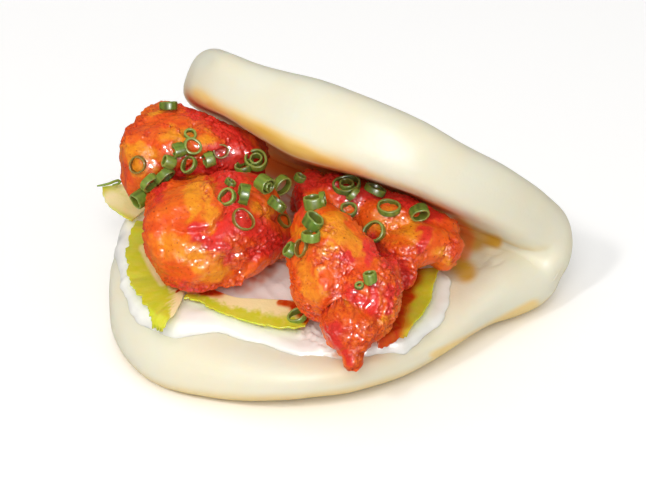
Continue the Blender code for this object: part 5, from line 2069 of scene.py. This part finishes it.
class BAO_OT_cream(bpy.types.Operator):
    """Build the cream smear"""
    bl_idname = "bao.cream"
    bl_label = "Cream"

    def execute(self, context):
        make_cream(context.scene.bao_cream)
        return {"FINISHED"}


class BAO_OT_lettuce(bpy.types.Operator):
    """Build the leaves"""
    bl_idname = "bao.lettuce"
    bl_label = "Lettuce"

    def execute(self, context):
        finish = lettuce_finish(context.scene.bao_lettuce)
        for name in LEAVES:
            make_leaf(name, context.scene.bao_lettuce, finish)
        return {"FINISHED"}


class BAO_OT_chicken(bpy.types.Operator):
    """Build the glazed fried pieces"""
    bl_idname = "bao.chicken"
    bl_label = "Fried pieces"

    def execute(self, context):
        finish = chicken_finish(context.scene.bao_chicken)
        for name in CHICKEN_LOBES:
            make_chicken(name, context.scene.bao_chicken, finish)
        return {"FINISHED"}


class BAO_OT_scallion(bpy.types.Operator):
    """Scatter the sliced scallion where it lies"""
    bl_idname = "bao.scallion"
    bl_label = "Scallion"

    def execute(self, context):
        finish = scallion_finish(context.scene.bao_scallion)
        for carrier in SCALLION:
            surface_name = f"{carrier}_fried" if carrier in CHICKEN_LOBES else f"{carrier}_leaf"
            make_scallion(carrier, surface_name, context.scene.bao_scallion, finish)
        make_strand(finish)
        return {"FINISHED"}


class BAO_OT_stage(bpy.types.Operator):
    """Set up the floor, the light and the camera"""
    bl_idname = "bao.stage"
    bl_label = "Stage"

    def execute(self, context):
        make_floor(context.scene.bao_stage)
        make_lights(context.scene.bao_stage)
        make_camera()
        context.scene.view_settings.view_transform = "Standard"
        return {"FINISHED"}


class BAO_PT_panel(bpy.types.Panel):
    """The bao's settings and the buttons that build it"""
    bl_idname = "BAO_PT_panel"
    bl_label = "Gua bao"
    bl_space_type = "VIEW_3D"
    bl_region_type = "UI"
    bl_category = "Gua bao"

    def draw(self, context):
        for group_name, _, operators in SECTIONS:
            box = self.layout.box()
            settings = getattr(context.scene, group_name)
            for key in settings.__annotations__:
                box.prop(settings, key)
            for operator in operators:
                box.operator(operator.bl_idname)


SECTIONS = (
    ("bao_dough", BaoDoughSettings, (BAO_OT_bun,)),
    ("bao_cream", BaoCreamSettings, (BAO_OT_cream,)),
    ("bao_lettuce", BaoLettuceSettings, (BAO_OT_lettuce,)),
    ("bao_chicken", BaoChickenSettings, (BAO_OT_chicken,)),
    ("bao_scallion", BaoScallionSettings, (BAO_OT_scallion,)),
    ("bao_stage", BaoStageSettings, (BAO_OT_stage,)),
)


def register():
    """Register the settings, the operators and the panel."""
    for name, group, operators in SECTIONS:
        bpy.utils.register_class(group)
        setattr(bpy.types.Scene, name, PointerProperty(type=group))
        for operator in operators:
            bpy.utils.register_class(operator)
    bpy.utils.register_class(BAO_PT_panel)


def unregister():
    """Take back what register did."""
    bpy.utils.unregister_class(BAO_PT_panel)
    for name, group, operators in reversed(SECTIONS):
        for operator in operators:
            bpy.utils.unregister_class(operator)
        delattr(bpy.types.Scene, name)
        bpy.utils.unregister_class(group)


def main():
    """Build everything in order."""
    register()
    bpy.ops.bao.bun()
    bpy.ops.bao.cream()
    bpy.ops.bao.lettuce()
    bpy.ops.bao.chicken()
    bpy.ops.bao.scallion()
    bpy.ops.bao.stage()


if __name__ == "__main__":
    main()
